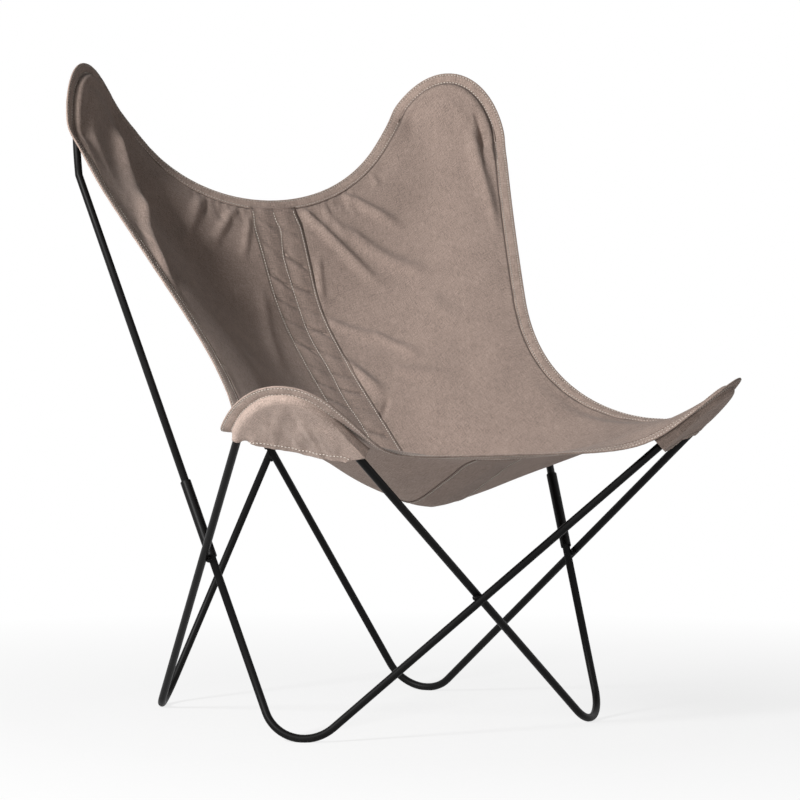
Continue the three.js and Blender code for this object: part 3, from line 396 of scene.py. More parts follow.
def stretched(u, v, c, e, b, b0, b1, f, f0, f1):
    """The sheet between seam point c and side point e: straight across, but rounded by
    g(u) = (sqrt(u^2 + r^2) - r) / (sqrt(1 + r^2) - r), drawn to the back edge by (1 - v)^3 and
    to the front edge by v^6 of their own departures, and swelled between seam and side."""
    r = ROUNDNESS_SHARE
    g = (np.sqrt(u * u + r * r) - r) / (math.sqrt(1 + r * r) - r)
    share = np.stack([u, g, g], -1)
    point = c + (e - c) * share
    point = point + (b - b0 - (b1 - b0) * share) * ((1 - v) ** BACK_POWER)[..., None]
    point = point + (f - f0 - (f1 - f0) * share) * (v**FRONT_POWER)[..., None]
    swell = np.sin(math.pi * u) * bell(v - SWELL_PLACE_SHARE, SWELL_LENGTH_SHARE)
    return point + np.stack([0 * u, 0 * u, SEAT_SWELL * swell], -1)


def lift_over(rods, points, normals, sign, half_thickness, tent, reach=TENT_REACH):
    """How far points move along the cloth's normal to clear the rods: closely, by the circle
    round a rod, and in a wide tent that falls off as (1 - (distance / reach)^2)^2."""
    least = ROD_DIAMETER / 2 + half_thickness + ROD_COVER
    push = np.zeros(len(points))
    normals = np.broadcast_to(normals, points.shape)
    tent = np.broadcast_to(tent, push.shape)
    for rod in rods:
        away = points - rod
        squared = dot(away, away)
        near = np.flatnonzero(squared < reach**2)
        if not len(near):
            continue
        height = dot(away[near], normals[near]) * sign
        aside = np.sqrt(np.maximum(0, squared[near] - height**2))
        close = np.where(aside < least, np.sqrt(np.maximum(0, least**2 - aside**2)) - height, 0)
        wide = (least * TENT_RISE - height) * (1 - squared[near] / reach**2) ** 2
        push[near] = np.maximum(push[near], np.maximum(close, tent[near] * wide))
    return push


def evened(rows, spacing, spread):
    """Rows averaged with their neighbours, 1 : 2 : 1, as often as spreads by a length."""
    for _ in range(int(2 * (spread / spacing) ** 2)):
        rows = np.concatenate([rows[:1], (rows[:-2] + 2 * rows[1:-1] + rows[2:]) / 4, rows[-1:]])
    return rows


class Outline:
    """One side's outline: the back edge from its middle to the rear ear's tip, the side edge
    from there to the front ear's tip, and the front edge from its middle to that tip."""

    def __init__(self, side):
        self.side, self.rods, self.seam = side, rods_near(side), middle_seam()
        self.rear = rear = Ear(rear_bend(side), np.array([0, -1, 0]), -REAR_OUTLINE_SET_BACK)
        self.front = front = Ear(front_bend(side), np.array([0, 0, 1]), FRONT_OUTLINE_LIFT)
        out = np.array([side, 0, 0])
        t = np.linspace(0, 1, FINE)

        follow = rear.outline(REAR_BACK_SHARE, REAR_TIP_SHARE)
        leave = follow[0] + rear.bend.tangent(REAR_BACK_SHARE) * BACK_EAR_PULL
        free = Bezier(BACK_MIDDLE, BACK_MIDDLE + out * BACK_EDGE_PULL, leave, follow[0]).point(t)
        back, back_span = Line(free, follow), Line(follow).length

        top = rear.outline(REAR_TIP_SHARE, REAR_SIDE_SHARE)
        tip = front.outline(FRONT_SIDE_SHARE, FRONT_TIP_SHARE)
        waist, pull = mirrored(WAIST, side), mirrored(WAIST_PULL, side)
        leave = top[-1] - rear.bend.tangent(REAR_SIDE_SHARE) * SIDE_REAR_PULL
        arrive = tip[0] - front.bend.tangent(FRONT_SIDE_SHARE) * SIDE_FRONT_PULL
        side_line = Line(top, Bezier(top[-1], leave, waist - pull, waist).point(t),
                         Bezier(waist, waist + pull, arrive, tip[0]).point(t), tip)

        follow = front.outline(FRONT_INNER_SHARE, FRONT_TIP_SHARE)
        leave = follow[0] + front.bend.tangent(FRONT_INNER_SHARE) * FRONT_EAR_PULL
        free = Bezier(FRONT_MIDDLE, FRONT_MIDDLE + out * FRONT_EDGE_PULL, leave, follow[0]).point(t)

        self.lines = {"back": back, "side": side_line, "front": Line(free, follow)}
        self.spans = {"back": back_span, "front": Line(follow).length,
                      "side": (Line(top).length, Line(tip).length)}

    def sheet_at(self, u, v):
        back, side, front = (self.lines[n] for n in ("back", "side", "front"))
        zero, one = 0 * u, 0 * u + 1
        return stretched(u, v, self.seam.at(v), side.at(v), back.at(u), back.at(zero), back.at(one),
                         front.at(u), front.at(zero), front.at(one))

    def bare(self, name, share):
        """Points, directions and normals of an edge, before it is moved clear of the rods."""
        line, zero = self.lines[name], 0 * share
        if name == "side":
            inside = self.sheet_at(zero + 1 - PROBE_SHARE, share)
            past = np.minimum(share * line.length - self.spans["side"][0],
                              (1 - share) * line.length - self.spans["side"][1])
            at_rear = share < 0.5
        else:
            probe = PROBE_SHARE if name == "back" else 1 - PROBE_SHARE
            inside = self.sheet_at(share, zero + probe)
            past = (1 - share) * line.length - self.spans[name]
            at_rear = zero + (name == "back") > 0
        free = smooth(past / EAR_FADE)
        middle = np.where(at_rear[:, None], self.rear.middle, self.front.middle)
        point, direction = line.at(share), line.direction(share)
        inward = mix(middle, inside, free) - point
        inward = unit(inward - direction * dot(inward, direction)[:, None])
        turn = self.side * (-1 if name == "front" else 1)
        return {"point": point, "direction": direction, "inward": inward, "hold": 1 - free,
                "normal": unit(np.cross(inward, direction)) * turn, "free": free,
                "lift": np.where(at_rear, self.rear.lift, self.front.lift)}

    def stations(self, name, share):
        """The edge's stations, each moved towards the sitter where a rod is in its way, with
        the move averaged over a few places along the edge."""
        line, here, eased = self.lines[name], self.bare(name, share), 0
        for i, weight in enumerate(EASE_SHARES):
            st = self.bare(name, np.clip(share + (i - 2) * EASE_STEP / line.length, 0, 1))
            pushes = [lift_over(self.rods, st["point"] + st["inward"] * part * BAND_WIDTH,
                                st["normal"], 1, BAND_THICKNESS / 2, 1) for part in (0, 0.5, 1)]
            eased = eased + weight * st["free"] * np.max(pushes, axis=0)
        spacing = line.length * np.ptp(share) / (len(share) - 1)
        direction = unit(evened(here["direction"], spacing, TURN_SPREAD))
        inward = evened(here["inward"], spacing, TURN_SPREAD)
        inward = unit(inward - direction * dot(inward, direction)[:, None])
        normal = np.cross(inward, direction)
        normal = unit(normal * np.sign(dot(normal, here["normal"]))[:, None])
        point = evened(here["point"], spacing, POINT_SPREAD)
        point = point + normal * evened(eased, spacing, PUSH_SPREAD)[:, None]
        return {**here, "point": point, "inward": inward, "normal": normal}


# The rim: rows of the panel by their distance from the outline, tucked into the band, in the
# seam's groove, then over the rod as a quarter circle, and on to the inner row
OVER_ROD = ROD_DIAMETER / 2 + CLOTH / 2 + ROD_COVER
RIM_REST, RIM_DIP, RIM_DIP_WIDTH = 0.0008, 0.0014, 0.0012
RIM_FALL_SHARE, RIM_SINK = 0.08, 0.0006
TUCK = BAND_WIDTH - 0.003
GROOVE = BAND_WIDTH + 0.0006
INNER = OUTLINE_REACH + 1.6 * ROD_DIAMETER
RIM_ROWS = np.array([TUCK, BAND_WIDTH - 0.0008, GROOVE, 0.0184, 0.0192, 0.0202, 0.0215, 0.0232,
                     0.0255, 0.0282, 0.0312, 0.0345, 0.0385, INNER])
RIM = len(RIM_ROWS) - 1


def rim_level(row, hold, lift, sign, slack=0.0):
    """Height of a rim row over the outline: a dip at the seam, off an ear a level layer, and on
    an ear R sqrt(1 - ((D - d) / R)^2) up to the rod's top, falling gently beyond it."""
    top = OVER_ROD + slack - sign * lift
    across = np.clip((OUTLINE_REACH - row) / top, 0, 1)
    beyond = smooth((row - OUTLINE_REACH) / (INNER - OUTLINE_REACH))
    over = top * np.sqrt(1 - across**2) * (1 - RIM_FALL_SHARE * beyond)
    resting = RIM_REST - RIM_DIP * bell(row - GROOVE, RIM_DIP_WIDTH)
    return resting * (1 - hold) + (over - RIM_SINK) * hold


def rim_grid(st, rods, sign, slack=0.0):
    """Points of the rim, rows by stations."""
    grid = []
    for row in RIM_ROWS:
        level = rim_level(row, st["hold"], st["lift"], sign, slack)
        point = st["point"] + st["inward"] * row + st["normal"] * (sign * level)[:, None]
        if row > BAND_WIDTH:
            push = lift_over(rods, point, st["normal"], sign, CLOTH / 2, st["free"])
            point = point + st["normal"] * (sign * push)[:, None]
        grid.append(point)
    return np.stack(grid)


def crowd_one(q):
    return q * (1 + CROWDING_SHARE * (1 - q))


def crowd_both(q):
    return q - CROWDING_SHARE * np.sin(2 * math.pi * q) / (2 * math.pi)


def column_share(q, width):
    """A column's share across: even under the strap, then crowded towards the side."""
    first, way = STRAP_WIDTH / 2 / width, COLUMNS * q
    beyond = first + (1 - first) * crowd_one((way - 1) / (COLUMNS - 1))
    return np.where(way < 1, first * way, beyond)


def quads(index):
    """Four-sided faces between neighbours of a grid of point numbers."""
    corners = (index[:-1, :-1], index[1:, :-1], index[1:, 1:], index[:-1, 1:])
    return np.stack(corners, -1).reshape(-1, 4)


def net_normals(points, faces):
    """The sum of the normals of the faces round each point."""
    a, b, c, d = (points[faces[:, i]] for i in range(4))
    n = np.cross(c - a, d - b)
    total = np.zeros_like(points)
    for i in range(4):
        for axis in range(3):
            total[:, axis] += np.bincount(faces[:, i], n[:, axis], len(points))
    return unit(total)


def relaxed(points, faces, weight, rounds):
    """Each round moves a point, by its weight, towards the mean of its neighbours."""
    edges = np.vstack([faces[:, [0, 1]], faces[:, [1, 2]], faces[:, [2, 3]], faces[:, [3, 0]]])
    edges = np.unique(np.sort(edges, axis=1), axis=0)
    both = np.vstack([edges, edges[:, ::-1]])
    count = np.bincount(both[:, 0], minlength=len(points))[:, None]
    for _ in range(rounds):
        mean = [np.bincount(both[:, 0], column[both[:, 1]], len(points)) for column in points.T]
        points = points + weight[:, None] * (np.stack(mean, 1) / count - points)
    return points


# How a half's sheet is evened near the ears, lifted off the rods, and blended into its rim
EVEN_REACH, EVEN_FADE, EVEN_ROUNDS = 0.30, 0.12, 260
LIFT_ROUNDS, LIFT_SPARE = 60, 0.001
BLEND_ROUNDS, BLEND_CELLS, SEAM_CELLS, BLEND_SHARE = 40, 9.0, 12, 0.7
BACK_TURNS_AT, BACK_TURNS_OVER = 0.15, 0.3


class Half:
    """One half of the sling's main cloth: its points, faces, flat places and normals."""

    def __init__(self, side):
        self.side, self.outline = side, Outline(side)
        out = self.outline
        q_across, q_along = np.linspace(0, 1, CELLS_ACROSS + 1), np.linspace(0, 1, CELLS_ALONG + 1)
        back = out.stations("back", column_share(q_across, out.lines["back"].length))
        edge = out.stations("side", crowd_both(q_along))
        front = out.stations("front", column_share(q_across, out.lines["front"].length))
        for st in (back, front):
            for key in ("inward", "normal"):
                st[key][0, 0] = 0
                st[key][0] = unit(st[key][0])
        for key in ("point", "inward", "normal"):
            edge[key][0], edge[key][-1] = back[key][-1], front[key][-1]
        self.edges = {"back": back, "side": edge, "front": front}
        back_rim, side_rim, front_rim = (rim_grid(st, out.rods, 1) for st in (back, edge, front))

        v = crowd_both(q_along)
        ring_back, ring_side, ring_front = back_rim[-1], side_rim[-1], front_rim[-1]
        start = INNER / out.seam.length
        c = out.seam.at(start + v * (1 - 2 * start))
        c = c + (ring_back[0] - out.seam.at(start)) * (1 - v)[:, None]
        c = c + (ring_front[0] - out.seam.at(1 - start)) * v[:, None]
        c[:, 0] = 0
        u = column_share(q_across[:, None], np.linalg.norm(ring_side - c, axis=1)[None])
        grid = stretched(u, v[None] + 0 * u, c[None], ring_side[None],
                         ring_back[:, None], ring_back[0], ring_back[-1],
                         ring_front[:, None], ring_front[0], ring_front[-1])
        grid[:, 0], grid[:, -1], grid[-1] = ring_back, ring_front, ring_side

        # Whole columns run from the back edge to the front edge, with the rims at both ends
        main = np.concatenate([back_rim[:-1].transpose(1, 0, 2), grid,
                               front_rim[:-1][::-1].transpose(1, 0, 2)], axis=1)
        way = q_across * COLUMNS
        wanted = side * STRAP_WIDTH / 2 - main[CELLS_ACROSS // COLUMNS, :, 0]
        main[..., 0] += wanted * np.where(way < 1, way, np.exp((1 - way) / 2))[:, None]
        self.shape = main.shape[:2]
        self.index = index = np.arange(main[..., 0].size).reshape(self.shape)
        border = np.arange(RIM * (CELLS_ALONG - 1)).reshape(RIM, -1) + index.size
        middle = np.vstack([border, index[-1, RIM + 1:-RIM - 1]])
        self.strip = strip = np.hstack([index[-1, :RIM + 1, None], middle,
                                        index[-1, ::-1][:RIM + 1, None]])
        points = np.vstack([main.reshape(-1, 3), side_rim[:-1, 1:-1].reshape(-1, 3)])
        faces = np.vstack([quads(index), quads(strip.T)])
        self.faces = faces[:, ::-1] if side > 0 else faces

        reach = np.full(len(points), 1.0)
        reach[index[:, :RIM]] = RIM_ROWS[:-1]
        reach[index[:, -RIM:]] = RIM_ROWS[-2::-1]
        reach[strip[:-1, 1:-1]] = RIM_ROWS[:-1, None]
        inside = (reach > INNER) * 1.0
        ears = [np.linalg.norm(points - ear.middle, axis=1) for ear in (out.rear, out.front)]
        near = smooth((EVEN_REACH - np.min(ears, axis=0)) / EVEN_FADE)
        points = relaxed(points, self.faces, inside * near, EVEN_ROUNDS)
        normal, spare = self.ear_normals(points), CLOTH / 2 + LIFT_SPARE
        push = lift_over(out.rods, points, normal, 1, spare, 1, BROAD_REACH) * inside
        points = points + normal * relaxed(push[:, None], self.faces, inside, LIFT_ROUNDS)
        points = relaxed(points, self.faces, self.ring_weight(points), BLEND_ROUNDS)
        points[index[0], 0] = 0
        self.points, self.reach = points, reach
        self.flat = self.flat_places()
        self.find_normals()

    def find_normals(self):
        self.normals = net_normals(self.points, self.faces)
        self.normals[self.index[0], 0] = 0
        self.normals = unit(self.normals)

    def ear_normals(self, points):
        """The rear ear's normal over the back, the front ear's over the seat."""
        rear, front = self.outline.rear.normal, self.outline.front.normal
        return unit(mix(rear, front, smooth((BACK_TURNS_AT - points[:, 1]) / BACK_TURNS_OVER)))

    def ring_weight(self, points):
        """How far each point gives way: most where rim and sheet meet, not at the seam."""
        weight = np.zeros(len(points))
        across, along = self.shape
        k, n = np.arange(across)[:, None], np.arange(along)[None]
        ends = np.minimum(np.abs(n - RIM), np.abs(along - 1 - RIM - n))
        cells = np.minimum(ends, across - 1 - k)
        weight[self.index] = bell(cells, BLEND_CELLS) * smooth(k / SEAM_CELLS)
        fade = smooth((RIM_ROWS[:-1] - OUTLINE_REACH) / (INNER - OUTLINE_REACH))
        weight[self.index[:, :RIM]] = fade
        weight[self.index[:, -RIM:]] = fade[::-1]
        weight[self.strip[:-1]] = fade[:, None]
        weight[self.index[0]] = 0
        return BLEND_SHARE * weight

    def flat_places(self):
        """Where each point lies on the flat cloth: the way across from the seam along its row,
        and the way along its column from the middle row, towards the back."""
        grid = self.points[self.index]
        across, along = np.zeros(self.shape), np.zeros(self.shape)
        across[1:] = np.cumsum(np.linalg.norm(np.diff(grid, axis=0), axis=-1), axis=0)
        along[:, 1:] = np.cumsum(np.linalg.norm(np.diff(grid, axis=1), axis=-1), axis=1)
        middle = self.shape[1] // 2
        flat = np.zeros((len(self.points), 2))
        flat[self.index] = np.stack([self.side * across, along[:, middle:middle + 1] - along], -1)
        outward = INNER - RIM_ROWS[:-1]
        beyond = np.stack([self.side * outward, 0 * outward], -1)[:, None]
        flat[self.strip[:-1, 1:-1]] = flat[self.strip[-1, 1:-1]][None] + beyond
        return flat


# Folds in the cloth, as lines on its flat places: from, to, half width, height, all in
# metres, where + is a ridge towards the sitter and - a crease away from them
FOLD_GAIN = 1.65
FOLD_DENT, FOLD_START, FOLD_RISE, FOLD_FALL = 0.35, 0.6, 4, 2.2
FOLD_NARROW, FOLD_WIDEN = 0.75, 0.5
FOLDS = {
    1: (
        (0.052, 0.420, 0.160, 0.233, 0.0085, 0.0050),
        (0.087, 0.420, 0.118, 0.338, 0.006, 0.0022),
        (0.130, 0.425, 0.230, 0.320, 0.008, 0.0046),
        (0.120, 0.362, 0.250, 0.187, 0.012, 0.0044),
        (0.054, 0.331, 0.040, 0.250, 0.006, 0.0025),
        (0.041, 0.228, 0.115, 0.144, 0.010, 0.0030),
        (0.100, 0.168, 0.155, 0.066, 0.008, 0.0032),
        (0.035, 0.144, 0.065, 0.043, 0.010, 0.0045),
        (0.064, 0.040, 0.025, 0.005, 0.006, -0.0028),
        (0.426, 0.407, 0.417, 0.347, 0.011, -0.0038),
        (0.402, 0.373, 0.375, 0.165, 0.016, 0.0060),
        (0.191, 0.442, 0.195, 0.410, 0.007, 0.0015),
        (0.103, 0.080, 0.170, 0.000, 0.012, 0.0022),
        (0.212, 0.157, 0.240, 0.040, 0.020, 0.0022),
    ),
    -1: (
        (-0.065, 0.420, -0.140, 0.320, 0.008, 0.0026),
        (-0.040, 0.415, -0.080, 0.315, 0.006, 0.0020),
        (-0.325, 0.420, -0.335, 0.190, 0.028, 0.0085),
        (-0.334, 0.265, -0.348, 0.050, 0.016, 0.0055),
        (-0.124, 0.417, -0.215, 0.280, 0.012, 0.0028),
        (-0.058, 0.265, -0.106, 0.060, 0.014, 0.0022),
    ),
}


def fold_height(flat, folds):
    """The sum over the folds of h (1 - k (d/w)^2) exp(-(d/w)^2) with ends that fade out."""
    total = np.zeros(len(flat))
    for x0, s0, x1, s1, width, height in folds:
        start, leg = np.array([x0, s0]), np.array([x1 - x0, s1 - s0])
        length = math.hypot(*leg)
        way = dot(flat - start, leg) / length**2
        aside = np.abs((flat[:, 0] - x0) * leg[1] - (flat[:, 1] - s0) * leg[0]) / length
        fade = smooth(way * FOLD_RISE + FOLD_START) * smooth((1 - way) * FOLD_FALL)
        narrowing = width * (FOLD_NARROW + FOLD_WIDEN * np.clip(way, 0, 1))
        scaled = (aside / narrowing) ** 2
        total += height * fade * (1 - FOLD_DENT * scaled) * np.exp(-scaled)
    return total


# Gathers: how far each one shifts, and the ranges of length, slant, half width and depth
GATHER_SHIFT, GATHER_LENGTHS, GATHER_SLANTS = 0.003, (0.022, 0.06), (-0.008, 0.012)
GATHER_WIDTHS, GATHER_DEPTHS = (0.0032, 0.0046), (0.0012, 0.0024)


def gathers(half, seed):
    """Short creases that run inwards from the back edge's seam: from, to, half width and
    height, a pitch apart with seeded lengths."""
    rng = np.random.default_rng(seed)
    seam, inside = half.flat[half.index[:, 3]], half.flat[half.index[:, RIM + 3]]
    folds = []
    for place in np.arange(GATHERS_FROM, GATHERS_TO, GATHER_PITCH):
        place = place + rng.uniform(-GATHER_SHIFT, GATHER_SHIFT)
        k = int(np.argmin(np.abs(np.abs(seam[:, 0]) - place)))
        end = seam[k] + unit(inside[k] - seam[k]) * rng.uniform(*GATHER_LENGTHS)
        end[0] += half.side * rng.uniform(*GATHER_SLANTS)
        folds.append((*seam[k], *end, rng.uniform(*GATHER_WIDTHS), -rng.uniform(*GATHER_DEPTHS)))
    return folds


def waves(flat, seed, sizes, heights):
    """Slow unevenness: for each size, three sines in fixed directions with seeded phases."""
    rng, total = np.random.default_rng(seed), 0
    for size, height in zip(sizes, heights):
        for _ in range(3):
            turn, phase = rng.uniform(0, math.pi), rng.uniform(0, 2 * math.pi)
            way = flat[:, 0] * math.cos(turn) + flat[:, 1] * math.sin(turn)
            total = total + height * np.sin(2 * math.pi * way / size + phase) / 3
    return total


# Where folds and gathers fade in from the outline, and everything from the middle seam: from
# where on, and over what length
FOLD_FADE, GATHER_FADE, STRAP_FADE = (0.019, 0.012), (0.0172, 0.002), (0.026, 0.024)
PANEL_WAVES = (0.21, 0.12), (0.0016, 0.0008)
WAVE_SEED, GATHER_SEED = 11, 31
ROD_PRESS = 0.0009


def fade_in(x, fade):
    """0 up to the fade's start, 1 beyond its length."""
    return smooth((x - fade[0]) / fade[1])


def dress(half):
    """Moves one half's cloth along its normals by its folds, gathers and slow unevenness,
    which fade out at the flange and under the strap, and clears the rods again."""
    folds = FOLD_GAIN * fold_height(half.flat, FOLDS[half.side])
    pleats = fold_height(half.flat, gathers(half, GATHER_SEED + half.side))
    height = (waves(half.flat, WAVE_SEED, *PANEL_WAVES) + folds) * fade_in(half.reach, FOLD_FADE)
    height += pleats * fade_in(half.reach, GATHER_FADE)
    height *= fade_in(np.abs(half.flat[:, 0]), STRAP_FADE)
    points, normals = half.points + half.normals * height[:, None], half.ear_normals(half.points)
    push = lift_over(half.outline.rods, points, normals, 1, CLOTH / 2 - ROD_PRESS, 0)
    half.points = points + normals * (push * (half.reach > BAND_WIDTH))[:, None]
    half.points[half.index[0], 0] = 0
    half.find_normals()


def new_mesh(name, points, faces, uv=None, triangles=None, shade=None):
    """A mesh from arrays of points, four-sided faces and, if any, triangles, with a shade at
    each point for its seams."""
    mesh = bpy.data.meshes.new(name)
    triangles = np.zeros((0, 3), int) if triangles is None else np.asarray(triangles)
    loops = np.concatenate([faces.ravel(), triangles.ravel()]).astype(np.int32)
    sizes = np.concatenate([np.full(len(faces), 4), np.full(len(triangles), 3)]).astype(np.int32)
    mesh.vertices.add(len(points))
    mesh.vertices.foreach_set("co", (points + MOVE).astype(np.float32).ravel())
    mesh.loops.add(len(loops))
    mesh.loops.foreach_set("vertex_index", loops)
    mesh.polygons.add(len(sizes))
    starts = np.concatenate([[0], np.cumsum(sizes)[:-1]]).astype(np.int32)
    mesh.polygons.foreach_set("loop_start", starts)
    mesh.polygons.foreach_set("use_smooth", np.ones(len(sizes), bool))
    if uv is not None:
        layer = mesh.uv_layers.new(name="flat")
        layer.data.foreach_set("uv", uv[loops].astype(np.float32).ravel())
    if shade is not None:
        layer = mesh.attributes.new("shade", "FLOAT", "POINT")
        layer.data.foreach_set("value", np.asarray(shade, np.float32).ravel())
    mesh.update(calc_edges=True)
    mesh.validate()
    return mesh


def add_piece(name, mesh, material, nodes, thickness=0.0):
    """An object at the origin that rides on the frame and stands for its nodes."""
    piece = bpy.data.objects.new(name, mesh)
    bpy.context.scene.collection.objects.link(piece)
    mesh.materials.append(material)
    if thickness:
        wall = piece.modifiers.new("cloth", "SOLIDIFY")
        wall.thickness, wall.offset = thickness, 0
    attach(piece, "root")
    if nodes:
        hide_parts(*nodes)
    return piece


class Value:
    """A socket in an expression: each operator adds a Math node."""

    def __init__(self, shader, socket):
        self.shader, self.socket = shader, socket

    def maths(self, operation, a, b=0.0):
        return self.shader.node("ShaderNodeMath", {"operation": operation}, {0: a, 1: b})

    def __add__(self, other):
        return self.maths("ADD", self, other)

    def __radd__(self, other):
        return self.maths("ADD", other, self)

    def __rsub__(self, other):
        return self.maths("SUBTRACT", other, self)

    def __mul__(self, other):
        return self.maths("MULTIPLY", self, other)

    def sine(self):
        return self.maths("SINE", self)

    def size(self):
        return self.maths("ABSOLUTE", self)

    def clamp(self, low, high):
        """0 below low, 1 above high, and straight between them."""
        settings = {"interpolation_type": "LINEAR", "clamp": True}
        return self.shader.node("ShaderNodeMapRange", settings, {0: self, 1: low, 2: high})


class Shader:
    """A node tree, and for a material its Principled surface."""

    def __init__(self, holder):
        holder.use_nodes = True
        self.holder, self.tree = holder, holder.node_tree
        self.surface = self.tree.nodes.get("Principled BSDF")

    def set_input(self, node, key, value):
        socket = node.inputs[key]
        if isinstance(value, Value):
            self.tree.links.new(value.socket, socket)
        elif isinstance(value, tuple) and len(socket.default_value) == 4:
            socket.default_value = (*value, 1)
        else:
            socket.default_value = value

    def node(self, kind, settings, inputs, output=0):
        """Adds a node: its settings first, then the values or links of its sockets."""
        node = self.tree.nodes.new(kind)
        for key, value in settings.items():
            setattr(node, key, value)
        for key, value in inputs.items():
            self.set_input(node, key, value)
        return Value(self, node.outputs[output])

    def finish(self, **inputs):
        for key, value in inputs.items():
            self.set_input(self.surface, key.replace("_", " "), value)
        return self.holder

    def noise(self, where, scale, detail=2.0, roughness=0.5):
        inputs = {"Vector": where, "Scale": scale, "Detail": detail, "Roughness": roughness}
        return self.node("ShaderNodeTexNoise", {}, inputs)

    def colours(self, share, low, high):
        """A colour the share of the way from low to high."""
        return self.node("ShaderNodeMix", {"data_type": "RGBA"}, {0: share, 6: low, 7: high}, 2)

    def place(self, kind, scale=(1, 1, 1)):
        where = self.node("ShaderNodeTexCoord", {}, {}, kind)
        return self.node("ShaderNodeMapping", {}, {"Vector": where, "Scale": scale})

    def part(self, where, axis):
        return self.node("ShaderNodeSeparateXYZ", {}, {0: where}, axis)

    def bump(self, height, strength, distance):
        inputs = {"Strength": strength, "Distance": distance, "Height": height}
        return self.node("ShaderNodeBump", {}, inputs)


def paint_box(name, colour):
    material = bpy.data.materials.new(name)
    material.diffuse_color = (*colour, 1)
    return Shader(material)


# Canvas: pitch of its threads, scales of its slubs, grain and mottling, their shares in its
# tone, the tone's range and what it spans, and the dark colour of its painted shade
THREAD_PITCH = 0.0008
SLUBS_ALONG, SLUBS_ACROSS, GRAIN_SCALE, MOTTLE_SCALE = 60, 1500, 480, 14
TONE_SLUBS, TONE_GRAIN, TONE_WEAVE, TONE_RIBS, TONE_MOTTLE = 0.9, 0.7, 0.12, 0.1, 0.15
TONE_LOW, TONE_HIGH, TONE_SPAN = 0.62, 1.42, 1.6 * 0.6
# Painted shade: the dark brown mixed in at grooves and creases, and along stitch rows, where their
# needle holes darken it too
PAINTED_SHADE_COLOUR = (0.06, 0.045, 0.036)


def canvas(name, base):
    """Plain-weave canvas: warp and weft ribs that pass over and under each other, long slubs
    in both directions, a soft mottling, and fine fuzz in the hollows; each point's shade
    attribute mixes in painted shade."""
    s = paint_box(name, base)
    where = s.place("UV")
    across, along = s.part(where, 0), s.part(where, 1)
    turn = math.pi / THREAD_PITCH
    warp, weft = (across * turn).sine(), (along * turn).sine()
    weave = warp * weft * 0.5 + 0.5
    ribs = (warp.size() + weft.size()) * 0.5
    warp_slubs = s.noise(s.place("UV", (SLUBS_ACROSS, SLUBS_ALONG, 1)), 1, 2)
    weft_slubs = s.noise(s.place("UV", (SLUBS_ALONG, SLUBS_ACROSS, 1)), 1, 2)
    grain = s.noise(s.place("UV", (GRAIN_SCALE, GRAIN_SCALE, 1)), 1, 3, 0.75)
    mottle = s.noise(s.place("UV", (MOTTLE_SCALE, MOTTLE_SCALE, 1)), 1, 3, 0.6)
    slubs = warp_slubs * 0.5 + weft_slubs * 0.5
    tone = slubs * TONE_SLUBS + grain * TONE_GRAIN + weave * TONE_WEAVE
    tone = (tone + ribs * TONE_RIBS + mottle * TONE_MOTTLE).clamp(TONE_LOW, TONE_HIGH)
    low, high = (tuple(c * (1 + k) for c in base) for k in (-TONE_SPAN, TONE_SPAN))
    # The shade attribute is painted shade in grooves and creases, and along stitch rows together
    # with their needle holes
    seam = s.node("ShaderNodeAttribute", {"attribute_name": "shade"}, {}, "Fac")
    colour = s.colours(seam.clamp(0, 1), s.colours(tone, low, high), PAINTED_SHADE_COLOUR)
    height = ribs * 0.5 + weave * 0.25 + slubs * 1.1 + grain * 0.5
    return s.finish(Base_Color=colour, Roughness=0.86 + mottle * 0.1, Specular_IOR_Level=0.18,
                    Normal=s.bump(height, 0.55, 0.0006), Sheen_Weight=0.12, Sheen_Roughness=0.5)


def satin_paint(name, base):
    """Black satin paint on rod: fine orange peel, faint cloudiness, dull scuffs by the floor."""
    s = paint_box(name, base)
    where = s.place("Object")
    peel, cloud, height = s.noise(where, 900, 2), s.noise(where, 35, 3), s.part(where, 2)
    low_down = 1 - height.clamp(0.004, 0.03)
    scuff = (s.noise(where, 260, 4, 0.7) * low_down).clamp(0.42, 0.6)
    share = (cloud * 0.8 + scuff * 0.8).clamp(0.2, 1.1)
    return s.finish(Base_Color=s.colours(share, base, tuple(2.6 * c for c in base)),
                    Roughness=0.36 + cloud * 0.14 + scuff * 0.2,
                    Normal=s.bump(peel, 0.14, 0.0002), Specular_IOR_Level=0.1)


def sewing_thread(name, base):
    """Twisted thread: slanting ply lines along each stitch and a little fluff."""
    s = paint_box(name, base)
    where = s.place("Object")
    slant = (s.part(where, 0) + s.part(where, 1) + s.part(where, 2)) * (2 * math.pi / 0.0006)
    ply, fluff = slant.sine() * 0.5 + 0.5, s.noise(where, 2500, 2)
    low, high = (tuple(k * c for c in base) for k in (0.8, 1.15))
    return s.finish(Base_Color=s.colours(ply * 0.5 + fluff * 0.5, low, high),
                    Roughness=0.6 + fluff * 0.2, Normal=s.bump(ply, 0.4, 0.0002))


CANVAS_COLOUR = (0.345, 0.262, 0.222)
FLANGE_COLOUR = (0.385, 0.294, 0.249)
# Painted light: the pockets are the same canvas as the panels, made lighter to stand for the
# stronger light on them
POCKET_PAINTED_LIGHT_COLOUR = (0.445, 0.341, 0.290)
STRAP_COLOUR = (0.325, 0.246, 0.208)
THREAD_COLOUR = (0.80, 0.73, 0.65)
PAINT_COLOUR = (0.0036, 0.0034, 0.0034)

CANVAS = canvas("taupe_canvas", CANVAS_COLOUR)
FLANGE = canvas("taupe_canvas_flange", FLANGE_COLOUR)
# A lighter copy of the canvas: painted light on the pockets
POCKET_LIT_CANVAS = canvas("taupe_canvas_pocket_painted_light", POCKET_PAINTED_LIGHT_COLOUR)
STRAP = canvas("taupe_canvas_strap", STRAP_COLOUR)
THREAD = sewing_thread("sewing_thread", THREAD_COLOUR)
PAINT = satin_paint("black_satin_paint", PAINT_COLOUR)


SIDE_NAMES = {1: "left", -1: "right"}


